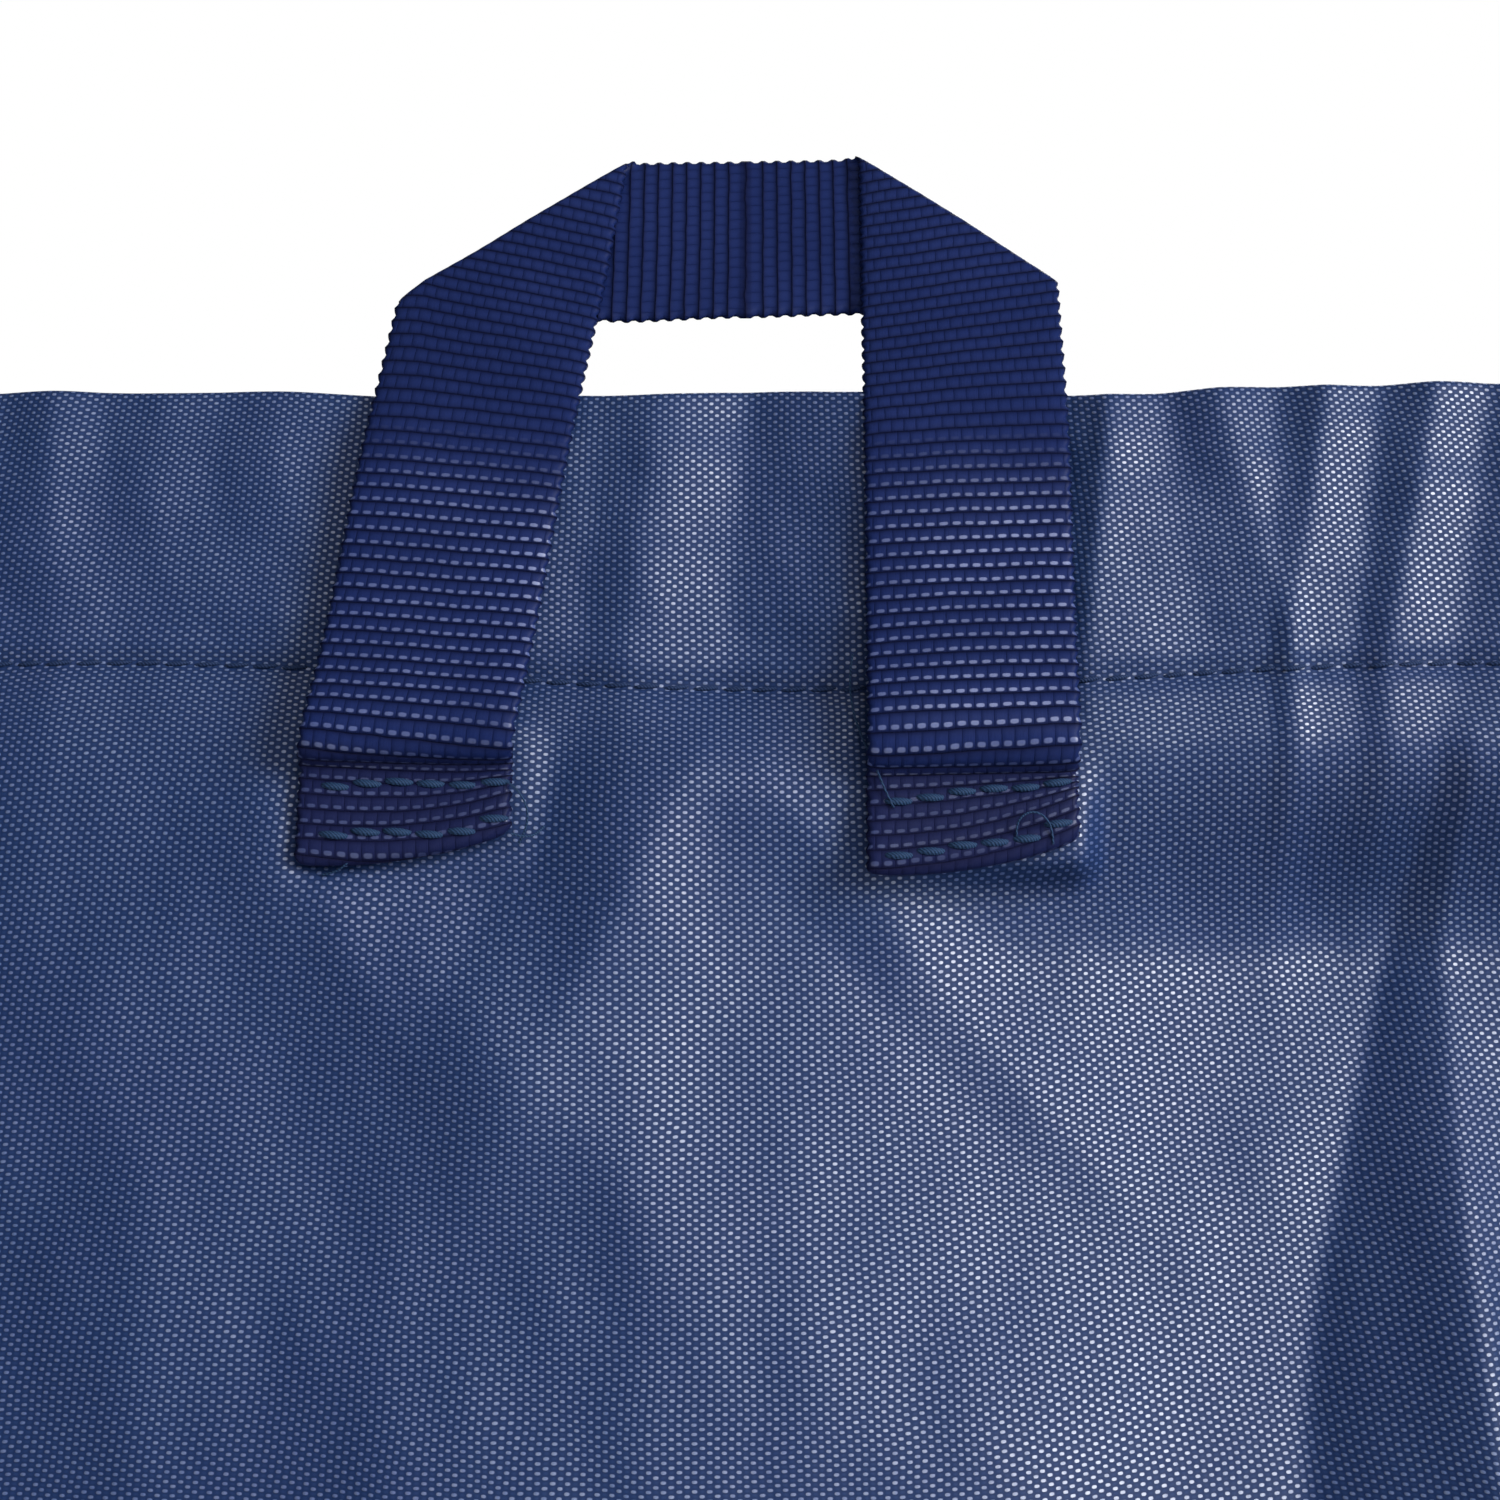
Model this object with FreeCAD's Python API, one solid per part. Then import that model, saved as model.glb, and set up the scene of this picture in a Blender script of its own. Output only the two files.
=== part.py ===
import FreeCAD, Part
import math
import os

# Fruit picking bag: a soft cloth bag that stands open, with an elastic mouth and two webbing
# loops. Millimetres. The origin is on the floor under the middle of the bag, +Z is up and the
# face with the standing loop looks along -Y.

Vector = FreeCAD.Vector

# ---- overall sizes ----
BAG_HEIGHT = 400.0          # floor to the folded rim
BELLY_WIDTH = 400.0         # widest, side to side
BELLY_DEPTH = 250.0         # widest, front to back
BASE_WIDTH = 372.0
BASE_DEPTH = 224.0
MOUTH_WIDTH = 348.0         # the elastic draws the mouth in
MOUTH_DEPTH = 176.0
BASE_RADIUS = 50.0          # corner radii seen from above
BELLY_RADIUS = 60.0
MOUTH_RADIUS = 68.0
FOOT_HEIGHT = 45.0          # height where the walls have spread from the base to the belly
BELLY_DROP = 165.0          # rim down to where the belly starts to close towards the mouth

# ---- cloth, hem and elastic ----
CLOTH = 1.0                 # one layer of coated cloth with its gathers pressed flat
HEM_HEIGHT = 38.0           # rim down to the hem stitching
ELASTIC_WIDTH = 30.0
ELASTIC_THICKNESS = 1.4
ELASTIC_LAP = 32.0          # length of the overlap that joins the band's two ends
TUNNEL_CLEARANCE = 0.25     # round the elastic, on each side
HEM_STITCH_RISE = 1.5       # thread above the lower edge of the hem
THREAD = 0.4                # how far a thread stands off the cloth
THREAD_HEIGHT = 0.8

# ---- seams on the inside ----
BINDING_DEPTH = 9.0         # how far a bound seam stands into the bag
BINDING_THICKNESS = 2.2
SEAM_THREAD_INSET = 3.0     # seam thread back from the free edge of the binding
SEAM_THREAD_END = 1.0       # binding left bare past each end of its thread
SEAM_GAP = 0.2              # between a binding and the cloth or binding beside it

# ---- webbing loops ----
WEBBING_WIDTH = 25.0
WEBBING_THICKNESS = 1.4
LOOP_SPACING = 65.5         # between the middles of the two sewn ends
LOOP_TOP_SPACING = 60.0     # between the middles of the legs at the folds
LOOP_LEAN = 4.0             # the folded top stands this far to the right of the sewn ends
SEWN_END_HEIGHT = 12.2      # end turned under and sewn down
SEWN_END_DROP = 44.0        # rim down to the upper edge of a sewn end
STITCH_ROW_DROPS = (2.6, 8.3)   # the two rows, down from the upper edge of a sewn end
STITCH_ROW_MARGIN = 1.8     # from each selvedge
STITCH_THREAD_HEIGHT = 0.6
BEND_RADIUS = 2.5           # webbing bending over at the top of a sewn end
HINGE_RISE = 1.5            # bend line above the sewn end
LEG_RISE = 54.0             # front loop: bend line up to the lower edge of the cross part
LEG_REACH = 21.0            # front loop: how far the cross part's lower edge lies behind the ends
CROSS_TILT = 28.0           # front loop: lean of the cross part, degrees from upright
LEG_PUFF = 1.2              # front loop: the legs stand this far off the hem
PUFF_RISE = 8.0             # front loop: from the hem line up to where the legs stand off
RIM_TURN_BELOW = 4.0        # front loop: the legs start to lean back this far below the rim
RIM_TURN_ABOVE = 2.0        # front loop: and lean back fully from this far above it
RIM_TURN_BACK = 1.5         # front loop: how far they have gone back by then
HANGING_LEG = 58.0          # back loop: bend line down to the near edge of the cross part
HANGING_GAP = 5.0           # back loop: webbing to the cloth behind its sewn ends

# ---- sizes that follow ----
HEM_LINE = BAG_HEIGHT - HEM_HEIGHT
TUNNEL_GAP = 2 * ELASTIC_THICKNESS + 2 * TUNNEL_CLEARANCE
HEM_THICKNESS = 2 * CLOTH + TUNNEL_GAP
BELLY_TOP = BAG_HEIGHT - BELLY_DROP
SEWN_TOP = BAG_HEIGHT - SEWN_END_DROP
SEWN_BOTTOM = SEWN_TOP - SEWN_END_HEIGHT
HINGE_HEIGHT = SEWN_TOP + HINGE_RISE
SHOULDER_SHARE = 0.55       # of the height from the belly's top to the hem, taken from the hem
SHOULDER = HEM_LINE - SHOULDER_SHARE * (HEM_LINE - BELLY_TOP)
CUT_MARGIN = 1.0            # bodies that only cut run this far past what they cut

# Half width, half depth and corner radius of the outside, from the floor up. Between the
# belly and the hem line the walls close slowly at first and faster towards the mouth.
SHOULDER_CLOSING = 0.34
HEM_LINE_CLOSING = 0.72


def closing(fraction):
    """Half sizes of a section that has closed by this fraction from belly to mouth."""
    def mix(belly, mouth):
        return belly + fraction * (mouth - belly)
    return (mix(BELLY_WIDTH, MOUTH_WIDTH) / 2, mix(BELLY_DEPTH, MOUTH_DEPTH) / 2,
            mix(BELLY_RADIUS, MOUTH_RADIUS))


SECTIONS = [
    (0.0, BASE_WIDTH / 2, BASE_DEPTH / 2, BASE_RADIUS),
    (FOOT_HEIGHT, *closing(0.0)),
    (BELLY_TOP, *closing(0.0)),
    (SHOULDER, *closing(SHOULDER_CLOSING)),
    (HEM_LINE, *closing(HEM_LINE_CLOSING)),
    (BAG_HEIGHT, *closing(1.0)),
]


def section_at(height):
    """Half width, half depth and corner radius of the outside at a height."""
    spans = list(zip(SECTIONS, SECTIONS[1:]))
    low, high = next((s for s in spans if height <= s[1][0]), spans[-1])
    share = (height - low[0]) / (high[0] - low[0])
    return tuple(a + share * (b - a) for a, b in zip(low[1:], high[1:]))


def heights_between(low, high):
    """The two heights, and every section height between them."""
    return [low] + [s[0] for s in SECTIONS if low < s[0] < high] + [high]


def ring_wire(height, inset):
    """Rounded rectangle at a height, moved in from the outside by inset."""
    a, b, r = section_at(height)
    cx, cy, r = a - r, b - r, r - inset

    def on_corner(sx, sy, degrees):
        angle = math.radians(degrees)
        return Vector(sx * cx + r * math.cos(angle), sy * cy + r * math.sin(angle), height)

    edges = []
    corners = [(1, 1, 0), (-1, 1, 90), (-1, -1, 180), (1, -1, 270)]
    for number, (sx, sy, start) in enumerate(corners):
        first, middle, last = (on_corner(sx, sy, start + turn) for turn in (0, 45, 90))
        edges.append(Part.Arc(first, middle, last).toShape())
        nx, ny, next_start = corners[(number + 1) % 4]
        edges.append(Part.makeLine(last, on_corner(nx, ny, next_start)))
    return Part.Wire(edges)


def sack(low, high, inset):
    """Solid inside the bag's outline between two heights, moved in by inset."""
    return Part.makeLoft([ring_wire(z, inset) for z in heights_between(low, high)], True, True)


def ring(low, high, outer_inset, inner_inset):
    """Closed band that follows the walls, between two insets and two heights."""
    hollow = sack(low - CUT_MARGIN, high + CUT_MARGIN, inner_inset)
    return sack(low, high, outer_inset).cut(hollow)


# ---- cloth ----
# Each corner seam lies in an upright plane at 45 degrees, through the middle of the corner.
# The planes meet the X axis here, and split the wall into four panels.
SEAM_CROSSING = (BELLY_WIDTH - BELLY_DEPTH + MOUTH_WIDTH - MOUTH_DEPTH) / 4


def panel_region(side):
    """Upright block that holds one panel: front, right, back or left."""
    reach = BELLY_WIDTH
    x, far = SEAM_CROSSING, SEAM_CROSSING + reach
    outlines = {
        "front": [(-x, 0), (x, 0), (far, -reach), (-far, -reach)],
        "right": [(x, 0), (far, -reach), (far, reach)],
        "back": [(x, 0), (-x, 0), (-far, reach), (far, reach)],
        "left": [(-x, 0), (-far, reach), (-far, -reach)],
    }
    points = [Vector(px, py, -CUT_MARGIN) for px, py in outlines[side]]
    face = Part.Face(Part.makePolygon(points + points[:1]))
    return face.extrude(Vector(0, 0, BAG_HEIGHT + 2 * CUT_MARGIN))


def walls():
    """All four walls in one, with the folded hem and the tunnel inside it."""
    body = sack(CLOTH, BAG_HEIGHT, 0.0)
    body = body.cut(sack(0.0, HEM_LINE, CLOTH))
    body = body.cut(sack(HEM_LINE, BAG_HEIGHT + CUT_MARGIN, HEM_THICKNESS))
    tunnel_low = HEM_LINE + HEM_STITCH_RISE + THREAD_HEIGHT
    tunnel_high = BAG_HEIGHT - CLOTH
    tunnel = sack(tunnel_low, tunnel_high, CLOTH).cut(
        sack(tunnel_low - CUT_MARGIN, tunnel_high + CUT_MARGIN, CLOTH + TUNNEL_GAP))
    return body.cut(tunnel)


def base_panel():
    """Flat bottom that the walls stand on."""
    return Part.Face(ring_wire(0.0, 0.0)).extrude(Vector(0, 0, CLOTH))


def mouth_elastic():
    """Flat elastic band in the tunnel, its ends lapped at the middle of the back."""
    margin = (HEM_HEIGHT - CLOTH + HEM_STITCH_RISE + THREAD_HEIGHT - ELASTIC_WIDTH) / 2
    low = HEM_LINE + margin
    high = low + ELASTIC_WIDTH
    outer = CLOTH + TUNNEL_CLEARANCE
    inner = outer + ELASTIC_THICKNESS
    band = ring(low, high, outer, inner)

    def lap_wire(height):
        y_out = section_at(height)[1] - inner
        y_in = y_out - ELASTIC_THICKNESS
        half = ELASTIC_LAP / 2
        corners = [(-half, y_out), (half, y_out), (half, y_in), (-half, y_in)]
        points = [Vector(px, py, height) for px, py in corners]
        return Part.makePolygon(points + points[:1])

    return band.fuse(Part.makeLoft([lap_wire(low), lap_wire(high)], True, True)).removeSplitter()


def hem_stitching():
    """Needle thread round the outside of the hem, bobbin thread round the inside."""
    low = HEM_LINE + HEM_STITCH_RISE
    high = low + THREAD_HEIGHT
    needle = ring(low, high, -THREAD, 0.0)
    bobbin = ring(low, high, HEM_THICKNESS, HEM_THICKNESS + THREAD)
    return Part.makeCompound([needle, bobbin])


# ---- bound seams ----
def seam_depth(height, inset, thickness):
    """Distance from the X axis, along a corner seam's plane, to the wall at this inset.

    It is measured at the face of a strip of this thickness that the wall comes nearer to.
    """
    a, b, r = section_at(height)
    cx, cy = a - r - SEAM_CROSSING, b - r
    along = (cx + cy) / math.sqrt(2)
    across = abs(cx - cy) / math.sqrt(2) + thickness / 2
    return along + math.sqrt((r - inset) ** 2 - across ** 2)


def seam_strip(sx, sy, low, high, near, far, offset, thickness):
    """Upright strip in a corner seam's plane, between two depths below the cloth's inside."""
    along = Vector(sx, sy, 0) / math.sqrt(2)
    across = Vector(-sy, sx, 0) / math.sqrt(2)
    start = Vector(sx * SEAM_CROSSING, 0, 0)

    def wire(height):
        depth = seam_depth(height, CLOTH, BINDING_THICKNESS)
        middle = start + across * offset + Vector(0, 0, height)
        corners = [(depth - near, -1), (depth - far, -1), (depth - far, 1), (depth - near, 1)]
        points = [middle + along * d + across * (side * thickness / 2) for d, side in corners]
        return Part.makePolygon(points + points[:1])

    return Part.makeLoft([wire(z) for z in heights_between(low, high)], True, True)


BINDING_LOW = CLOTH + SEAM_GAP + BINDING_DEPTH + SEAM_GAP   # side bindings stand on the base's
BINDING_HIGH = HEM_LINE - SEAM_GAP


def side_seam_binding(sx, sy):
    """Tape folded round the seam allowances of one corner."""
    return seam_strip(sx, sy, BINDING_LOW, BINDING_HIGH, SEAM_GAP, SEAM_GAP + BINDING_DEPTH,
                      0.0, BINDING_THICKNESS)


def side_seam_stitching():
    """Thread down both faces of each side binding."""
    near = SEAM_GAP + BINDING_DEPTH - SEAM_THREAD_INSET
    offset = (BINDING_THICKNESS + THREAD) / 2
    low = BINDING_LOW + SEAM_THREAD_END
    high = BINDING_HIGH - SEAM_THREAD_END
    lines = [seam_strip(sx, sy, low, high, near - THREAD_HEIGHT, near, side * offset, THREAD)
             for sx in (1, -1) for sy in (1, -1) for side in (1, -1)]
    return Part.makeCompound(lines)


def base_seam_binding():
    """Tape round the base seam, turned up against the foot of the walls."""
    low = CLOTH + SEAM_GAP
    return ring(low, low + BINDING_DEPTH, CLOTH + SEAM_GAP, CLOTH + SEAM_GAP + BINDING_THICKNESS)


def base_seam_stitching():
    """Thread round the inner face of the base binding."""
    high = CLOTH + SEAM_GAP + BINDING_DEPTH - SEAM_THREAD_INSET
    inset = CLOTH + SEAM_GAP + BINDING_THICKNESS
    return ring(high - THREAD_HEIGHT, high, inset, inset + THREAD)


# ---- webbing loops ----
# A loop is drawn for the front. The back loop is turned half a turn about the Z axis.


def cloth_y(height):
    """Y of the front cloth's outside at a height."""
    return -section_at(height)[1]


def strip_on_cloth(x_low, x_high, low, high, near, far):
    """Block lying on the front cloth between two heights, from near to far outwards."""
    def wire(height):
        y = cloth_y(height)
        corners = [(x_low, y - near), (x_high, y - near), (x_high, y - far), (x_low, y - far)]
        points = [Vector(px, py, height) for px, py in corners]
        return Part.makePolygon(points + points[:1])
    return Part.makeLoft([wire(low), wire(high)], True, True)


def sewn_end(side):
    """End of the webbing, turned under so that it is double, on side -1 or 1."""
    middle = side * LOOP_SPACING / 2
    half = WEBBING_WIDTH / 2
    return strip_on_cloth(middle - half, middle + half, SEWN_BOTTOM, SEWN_TOP,
                          0.0, 2 * WEBBING_THICKNESS)


def loop_stitching():
    """Two rows of thread across each sewn end."""
    rows = []
    half = WEBBING_WIDTH / 2 - STITCH_ROW_MARGIN
    near = 2 * WEBBING_THICKNESS
    for side in (-1, 1):
        middle = side * LOOP_SPACING / 2
        for drop in STITCH_ROW_DROPS:
            low = SEWN_TOP - drop - STITCH_THREAD_HEIGHT / 2
            rows.append(strip_on_cloth(middle - half, middle + half, low,
                                       low + STITCH_THREAD_HEIGHT, near, near + THREAD))
    return Part.makeCompound(rows)


def hinge_y():
    """Y of the line that the webbing bends about, above the sewn ends."""
    return cloth_y(HINGE_HEIGHT) - 1.5 * WEBBING_THICKNESS - BEND_RADIUS


def normals_along(path):
    """Unit normal of each run of a (y, z) path, to the left of the way it goes."""
    runs = [(q[0] - p[0], q[1] - p[1]) for p, q in zip(path, path[1:])]
    return [Vector(0, dz, -dy) / math.hypot(dy, dz) for dy, dz in runs]


def ribbon(path, x_starts, x_ends, back=0.0):
    """Webbing along a path of (y, z) points, its edges moving from x_starts to x_ends.

    The ribbon's middle layer is the path moved back along its normal. Corners are mitred, so
    the thickness is the same all along.
    """
    total = sum(math.dist(p, q) for p, q in zip(path, path[1:]))
    normals = normals_along(path)
    half = WEBBING_THICKNESS / 2
    wires = []
    run = 0.0
    for number, (y, z) in enumerate(path):
        if number:
            run += math.dist(path[number - 1], (y, z))
        before = normals[max(number - 1, 0)]
        after = normals[min(number, len(normals) - 1)]
        mitre = (before + after) / (1 + before.dot(after))
        share = run / total
        x_low, x_high = (s + share * (e - s) for s, e in zip(x_starts, x_ends))
        points = [Vector(px, y, z) + mitre * (back + side * half)
                  for px, side in ((x_low, -1), (x_high, -1), (x_high, 1), (x_low, 1))]
        wires.append(Part.makePolygon(points + points[:1]))
    return Part.makeLoft(wires, True, True)


def loop_strap(legs_path, cross_path):
    """Free part of a loop: two legs in front, and the cross part folded behind them."""
    half = WEBBING_WIDTH / 2
    whole = legs_path + cross_path[1:]
    pieces = []
    outer = []
    for side in (-1, 1):
        foot = side * LOOP_SPACING / 2
        top = side * LOOP_TOP_SPACING / 2 + LOOP_LEAN
        pieces.append(ribbon(whole, (foot - half, foot + half), (top - half, top + half)))
        outer.append(top + side * half)
    pieces.append(ribbon(cross_path, outer, outer, back=WEBBING_THICKNESS))
    strap = pieces[0].fuse(pieces[1:]).removeSplitter()
    # the diagonal fold takes the outer corner off each end of the cross part
    (y0, z0), (y1, z1) = cross_path
    length = math.dist(*cross_path)
    up = Vector(0, (y1 - y0) / length, (z1 - z0) / length)
    normal = Vector(0, up.z, -up.y)
    for side, x in zip((-1, 1), outer):
        corner = Vector(x, y1, z1) - normal * length
        outward = Vector(side, 0, 0)
        points = [corner + outward * CUT_MARGIN - up * (length + CUT_MARGIN),
                  corner + (outward + up) * CUT_MARGIN,
                  corner - outward * (length + CUT_MARGIN) + up * CUT_MARGIN]
        face = Part.Face(Part.makePolygon(points + points[:1]))
        strap = strap.cut(face.extrude(normal * 2 * length))
    return strap


def front_loop_path():
    """Side view of the standing loop: up along the hem, then leaning back over the mouth."""
    foot_y = cloth_y(HINGE_HEIGHT) - 1.5 * WEBBING_THICKNESS
    puff_z = HEM_LINE + PUFF_RISE
    rim_y = cloth_y(BAG_HEIGHT) - 1.5 * WEBBING_THICKNESS
    cross_y = cloth_y(SEWN_TOP) + LEG_REACH
    cross_z = SEWN_TOP + LEG_RISE
    legs = [(foot_y, HINGE_HEIGHT),
            (cloth_y(puff_z) - 1.5 * WEBBING_THICKNESS - LEG_PUFF, puff_z),
            (rim_y - LEG_PUFF, BAG_HEIGHT - RIM_TURN_BELOW),
            (rim_y + RIM_TURN_BACK, BAG_HEIGHT + RIM_TURN_ABOVE),
            (cross_y, cross_z)]
    tilt = math.radians(CROSS_TILT)
    cross = [legs[-1], (cross_y + WEBBING_WIDTH * math.sin(tilt),
                        cross_z + WEBBING_WIDTH * math.cos(tilt))]
    return legs, cross


def hanging_loop_path():
    """Side view of the loop that hangs down outside its sewn ends."""
    def point(drop):
        z = HINGE_HEIGHT - drop
        gap = WEBBING_THICKNESS / 2 + HANGING_GAP
        return (cloth_y(z) - gap, z)
    top = (hinge_y() - BEND_RADIUS, HINGE_HEIGHT)
    bottom = point(HANGING_LEG)
    legs = [top, bottom]
    reach = math.dist(top, bottom)
    dy, dz = (bottom[0] - top[0]) / reach, (bottom[1] - top[1]) / reach
    cross = [bottom, (bottom[0] + dy * WEBBING_WIDTH, bottom[1] + dz * WEBBING_WIDTH)]
    return legs, cross


def to_back(shape):
    """The same shape turned half a turn about the Z axis, for the back of the bag."""
    turned = shape.copy()
    turned.rotate(Vector(0, 0, 0), Vector(0, 0, 1), 180)
    return turned


def build():
    """Every piece of the bag, by name."""
    all_walls = walls()
    pieces = {
        "front_panel": all_walls.common(panel_region("front")),
        "back_panel": all_walls.common(panel_region("back")),
        "right_gusset": all_walls.common(panel_region("right")),
        "left_gusset": all_walls.common(panel_region("left")),
        "base_panel": base_panel(),
        "mouth_elastic": mouth_elastic(),
        "hem_stitching": hem_stitching(),
        "base_seam_binding": base_seam_binding(),
        "base_seam_stitching": base_seam_stitching(),
        "side_seam_stitching": side_seam_stitching(),
        "front_loop_left_end": sewn_end(-1),
        "front_loop_right_end": sewn_end(1),
        "front_loop_stitching": loop_stitching(),
        "front_loop_strap": loop_strap(*front_loop_path()),
        "back_loop_left_end": to_back(sewn_end(1)),
        "back_loop_right_end": to_back(sewn_end(-1)),
        "back_loop_stitching": to_back(loop_stitching()),
        "back_loop_strap": to_back(loop_strap(*hanging_loop_path())),
    }
    for sx, across in ((-1, "left"), (1, "right")):
        for sy, along in ((-1, "front"), (1, "back")):
            pieces[f"{along}_{across}_seam_binding"] = side_seam_binding(sx, sy)
    return pieces


os.makedirs("parts", exist_ok=True)
for name, shape in build().items():
    shape.exportStep(f"parts/{name}.step")
    box = shape.BoundBox
    print(f"{name:26s} solids {len(shape.Solids)} valid {shape.isValid()} volume {shape.Volume:9.0f} "
          f"x {box.XMin:7.1f} {box.XMax:7.1f} y {box.YMin:7.1f} {box.YMax:7.1f} "
          f"z {box.ZMin:6.1f} {box.ZMax:6.1f}")
print(f"hinge y {hinge_y():.3f} z {HINGE_HEIGHT:.3f}")
print(f"front cloth at sewn ends {cloth_y(SEWN_TOP):.3f}, at rim {cloth_y(BAG_HEIGHT):.3f}")
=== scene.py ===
"""Looks of the fruit picking bag: a soft cloth bag with an elastic mouth and two webbing loops.

Shapes are worked out in millimetres and put into meshes in metres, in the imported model's frame:
origin on the floor under the middle of the bag, +Z up, the standing loop towards -Y.
"""
import logging
import math
from dataclasses import dataclass, field
from enum import Enum

import bmesh
import bpy
import numpy as np
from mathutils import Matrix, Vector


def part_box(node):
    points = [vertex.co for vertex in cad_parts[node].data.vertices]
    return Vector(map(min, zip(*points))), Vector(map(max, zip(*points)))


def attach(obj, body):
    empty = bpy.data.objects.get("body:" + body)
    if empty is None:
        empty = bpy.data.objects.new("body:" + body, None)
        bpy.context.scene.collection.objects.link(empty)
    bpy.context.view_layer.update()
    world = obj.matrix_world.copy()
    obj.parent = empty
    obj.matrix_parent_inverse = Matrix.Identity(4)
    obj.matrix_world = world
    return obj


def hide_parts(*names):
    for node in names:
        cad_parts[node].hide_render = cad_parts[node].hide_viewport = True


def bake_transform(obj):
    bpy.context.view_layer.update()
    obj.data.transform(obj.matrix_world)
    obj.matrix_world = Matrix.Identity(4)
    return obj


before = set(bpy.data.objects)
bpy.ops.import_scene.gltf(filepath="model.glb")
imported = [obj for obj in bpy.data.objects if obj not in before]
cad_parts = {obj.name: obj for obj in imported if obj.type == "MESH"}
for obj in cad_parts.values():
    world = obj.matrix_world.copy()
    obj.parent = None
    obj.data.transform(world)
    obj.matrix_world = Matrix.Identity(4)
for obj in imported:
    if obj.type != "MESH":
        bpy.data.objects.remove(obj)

MM = 0.001
LOG = logging.getLogger("picking_bag")
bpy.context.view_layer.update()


# ---------------------------------------------------------------- arithmetic on arrays
def smooth(value: np.ndarray, low: float, high: float) -> np.ndarray:
    """Smooth step: 0 up to low, 1 from high, and 3t^2 - 2t^3 between them.

    Args:
        value: Where to work it out.
        low: Start of the step.
        high: End of the step; below low, the step goes down.

    Returns:
        The step's value at each place.
    """
    t = np.clip((value - low) / (high - low), 0.0, 1.0)
    return t * t * (3.0 - 2.0 * t)


def tent(distance: np.ndarray, left: np.ndarray, right: np.ndarray, edge: float = 0.1) -> np.ndarray:
    """Ridge that is 1 at distance 0 and falls straight to 0 one flank away on each side.

    With q the distance in flanks, the crest uses sqrt(q^2 + edge^2) - edge and the foot the soft
    positive part (1 - q + sqrt((1 - q)^2 + edge^2)) / 2, so neither has a kink.

    Args:
        distance: Signed distance from the crest.
        left: Width of the flank at negative distances.
        right: Width of the flank at positive distances.
        edge: Rounding of crest and foot, in flanks.

    Returns:
        Height of the ridge.
    """
    q = np.where(distance < 0, -distance / left, distance / right)
    rest = 1.0 + edge - np.sqrt(q * q + edge * edge)
    return 0.5 * (rest + np.sqrt(rest * rest + edge * edge))


def ripple(x: np.ndarray, z: np.ndarray, seed: int, longest: float, upright: float = 1.0) -> np.ndarray:
    """Soft unevenness: a sum of sine waves in many directions, the short ones lower.

    Args:
        x: Place along the cloth.
        z: Place up the cloth.
        seed: Picks directions and phases.
        longest: Longest wave.
        upright: How much longer the waves are upwards than along.

    Returns:
        Height, mostly between -1 and 1.
    """
    rng = np.random.default_rng(seed)
    waves, shortest, gain = 10, 0.18, 1.8
    share = np.linspace(1.0, shortest, waves)
    angle = rng.uniform(0, np.pi, waves)
    phase = rng.uniform(0, 2 * np.pi, waves)
    turn = 2 * np.pi / (longest * share)
    arg = (x[..., None] * (turn * np.cos(angle)) + z[..., None] / upright * (turn * np.sin(angle))
           + phase)
    weight = share ** 1.4
    return (np.sin(arg) * weight).sum(-1) / weight.sum() * gain


def spline(points: list[tuple[float, ...]], count: int) -> np.ndarray:
    """Cubic B-spline with the given control points, its ends pinned by repeating them.

    Args:
        points: Control points.
        count: Number of places along it.

    Returns:
        Points along the curve, one row each.
    """
    hand = np.array([points[0]] * 2 + list(points) + [points[-1]] * 2, float)
    spans = len(hand) - 3
    t = np.linspace(0, spans - 1e-9, count)
    n = t.astype(int)
    f = (t - n)[:, None]
    weights = ((1 - f) ** 3, 3 * f ** 3 - 6 * f ** 2 + 4, -3 * f ** 3 + 3 * f ** 2 + 3 * f + 1, f ** 3)
    return sum(w * hand[n + k] for k, w in enumerate(weights)) / 6.0


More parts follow.
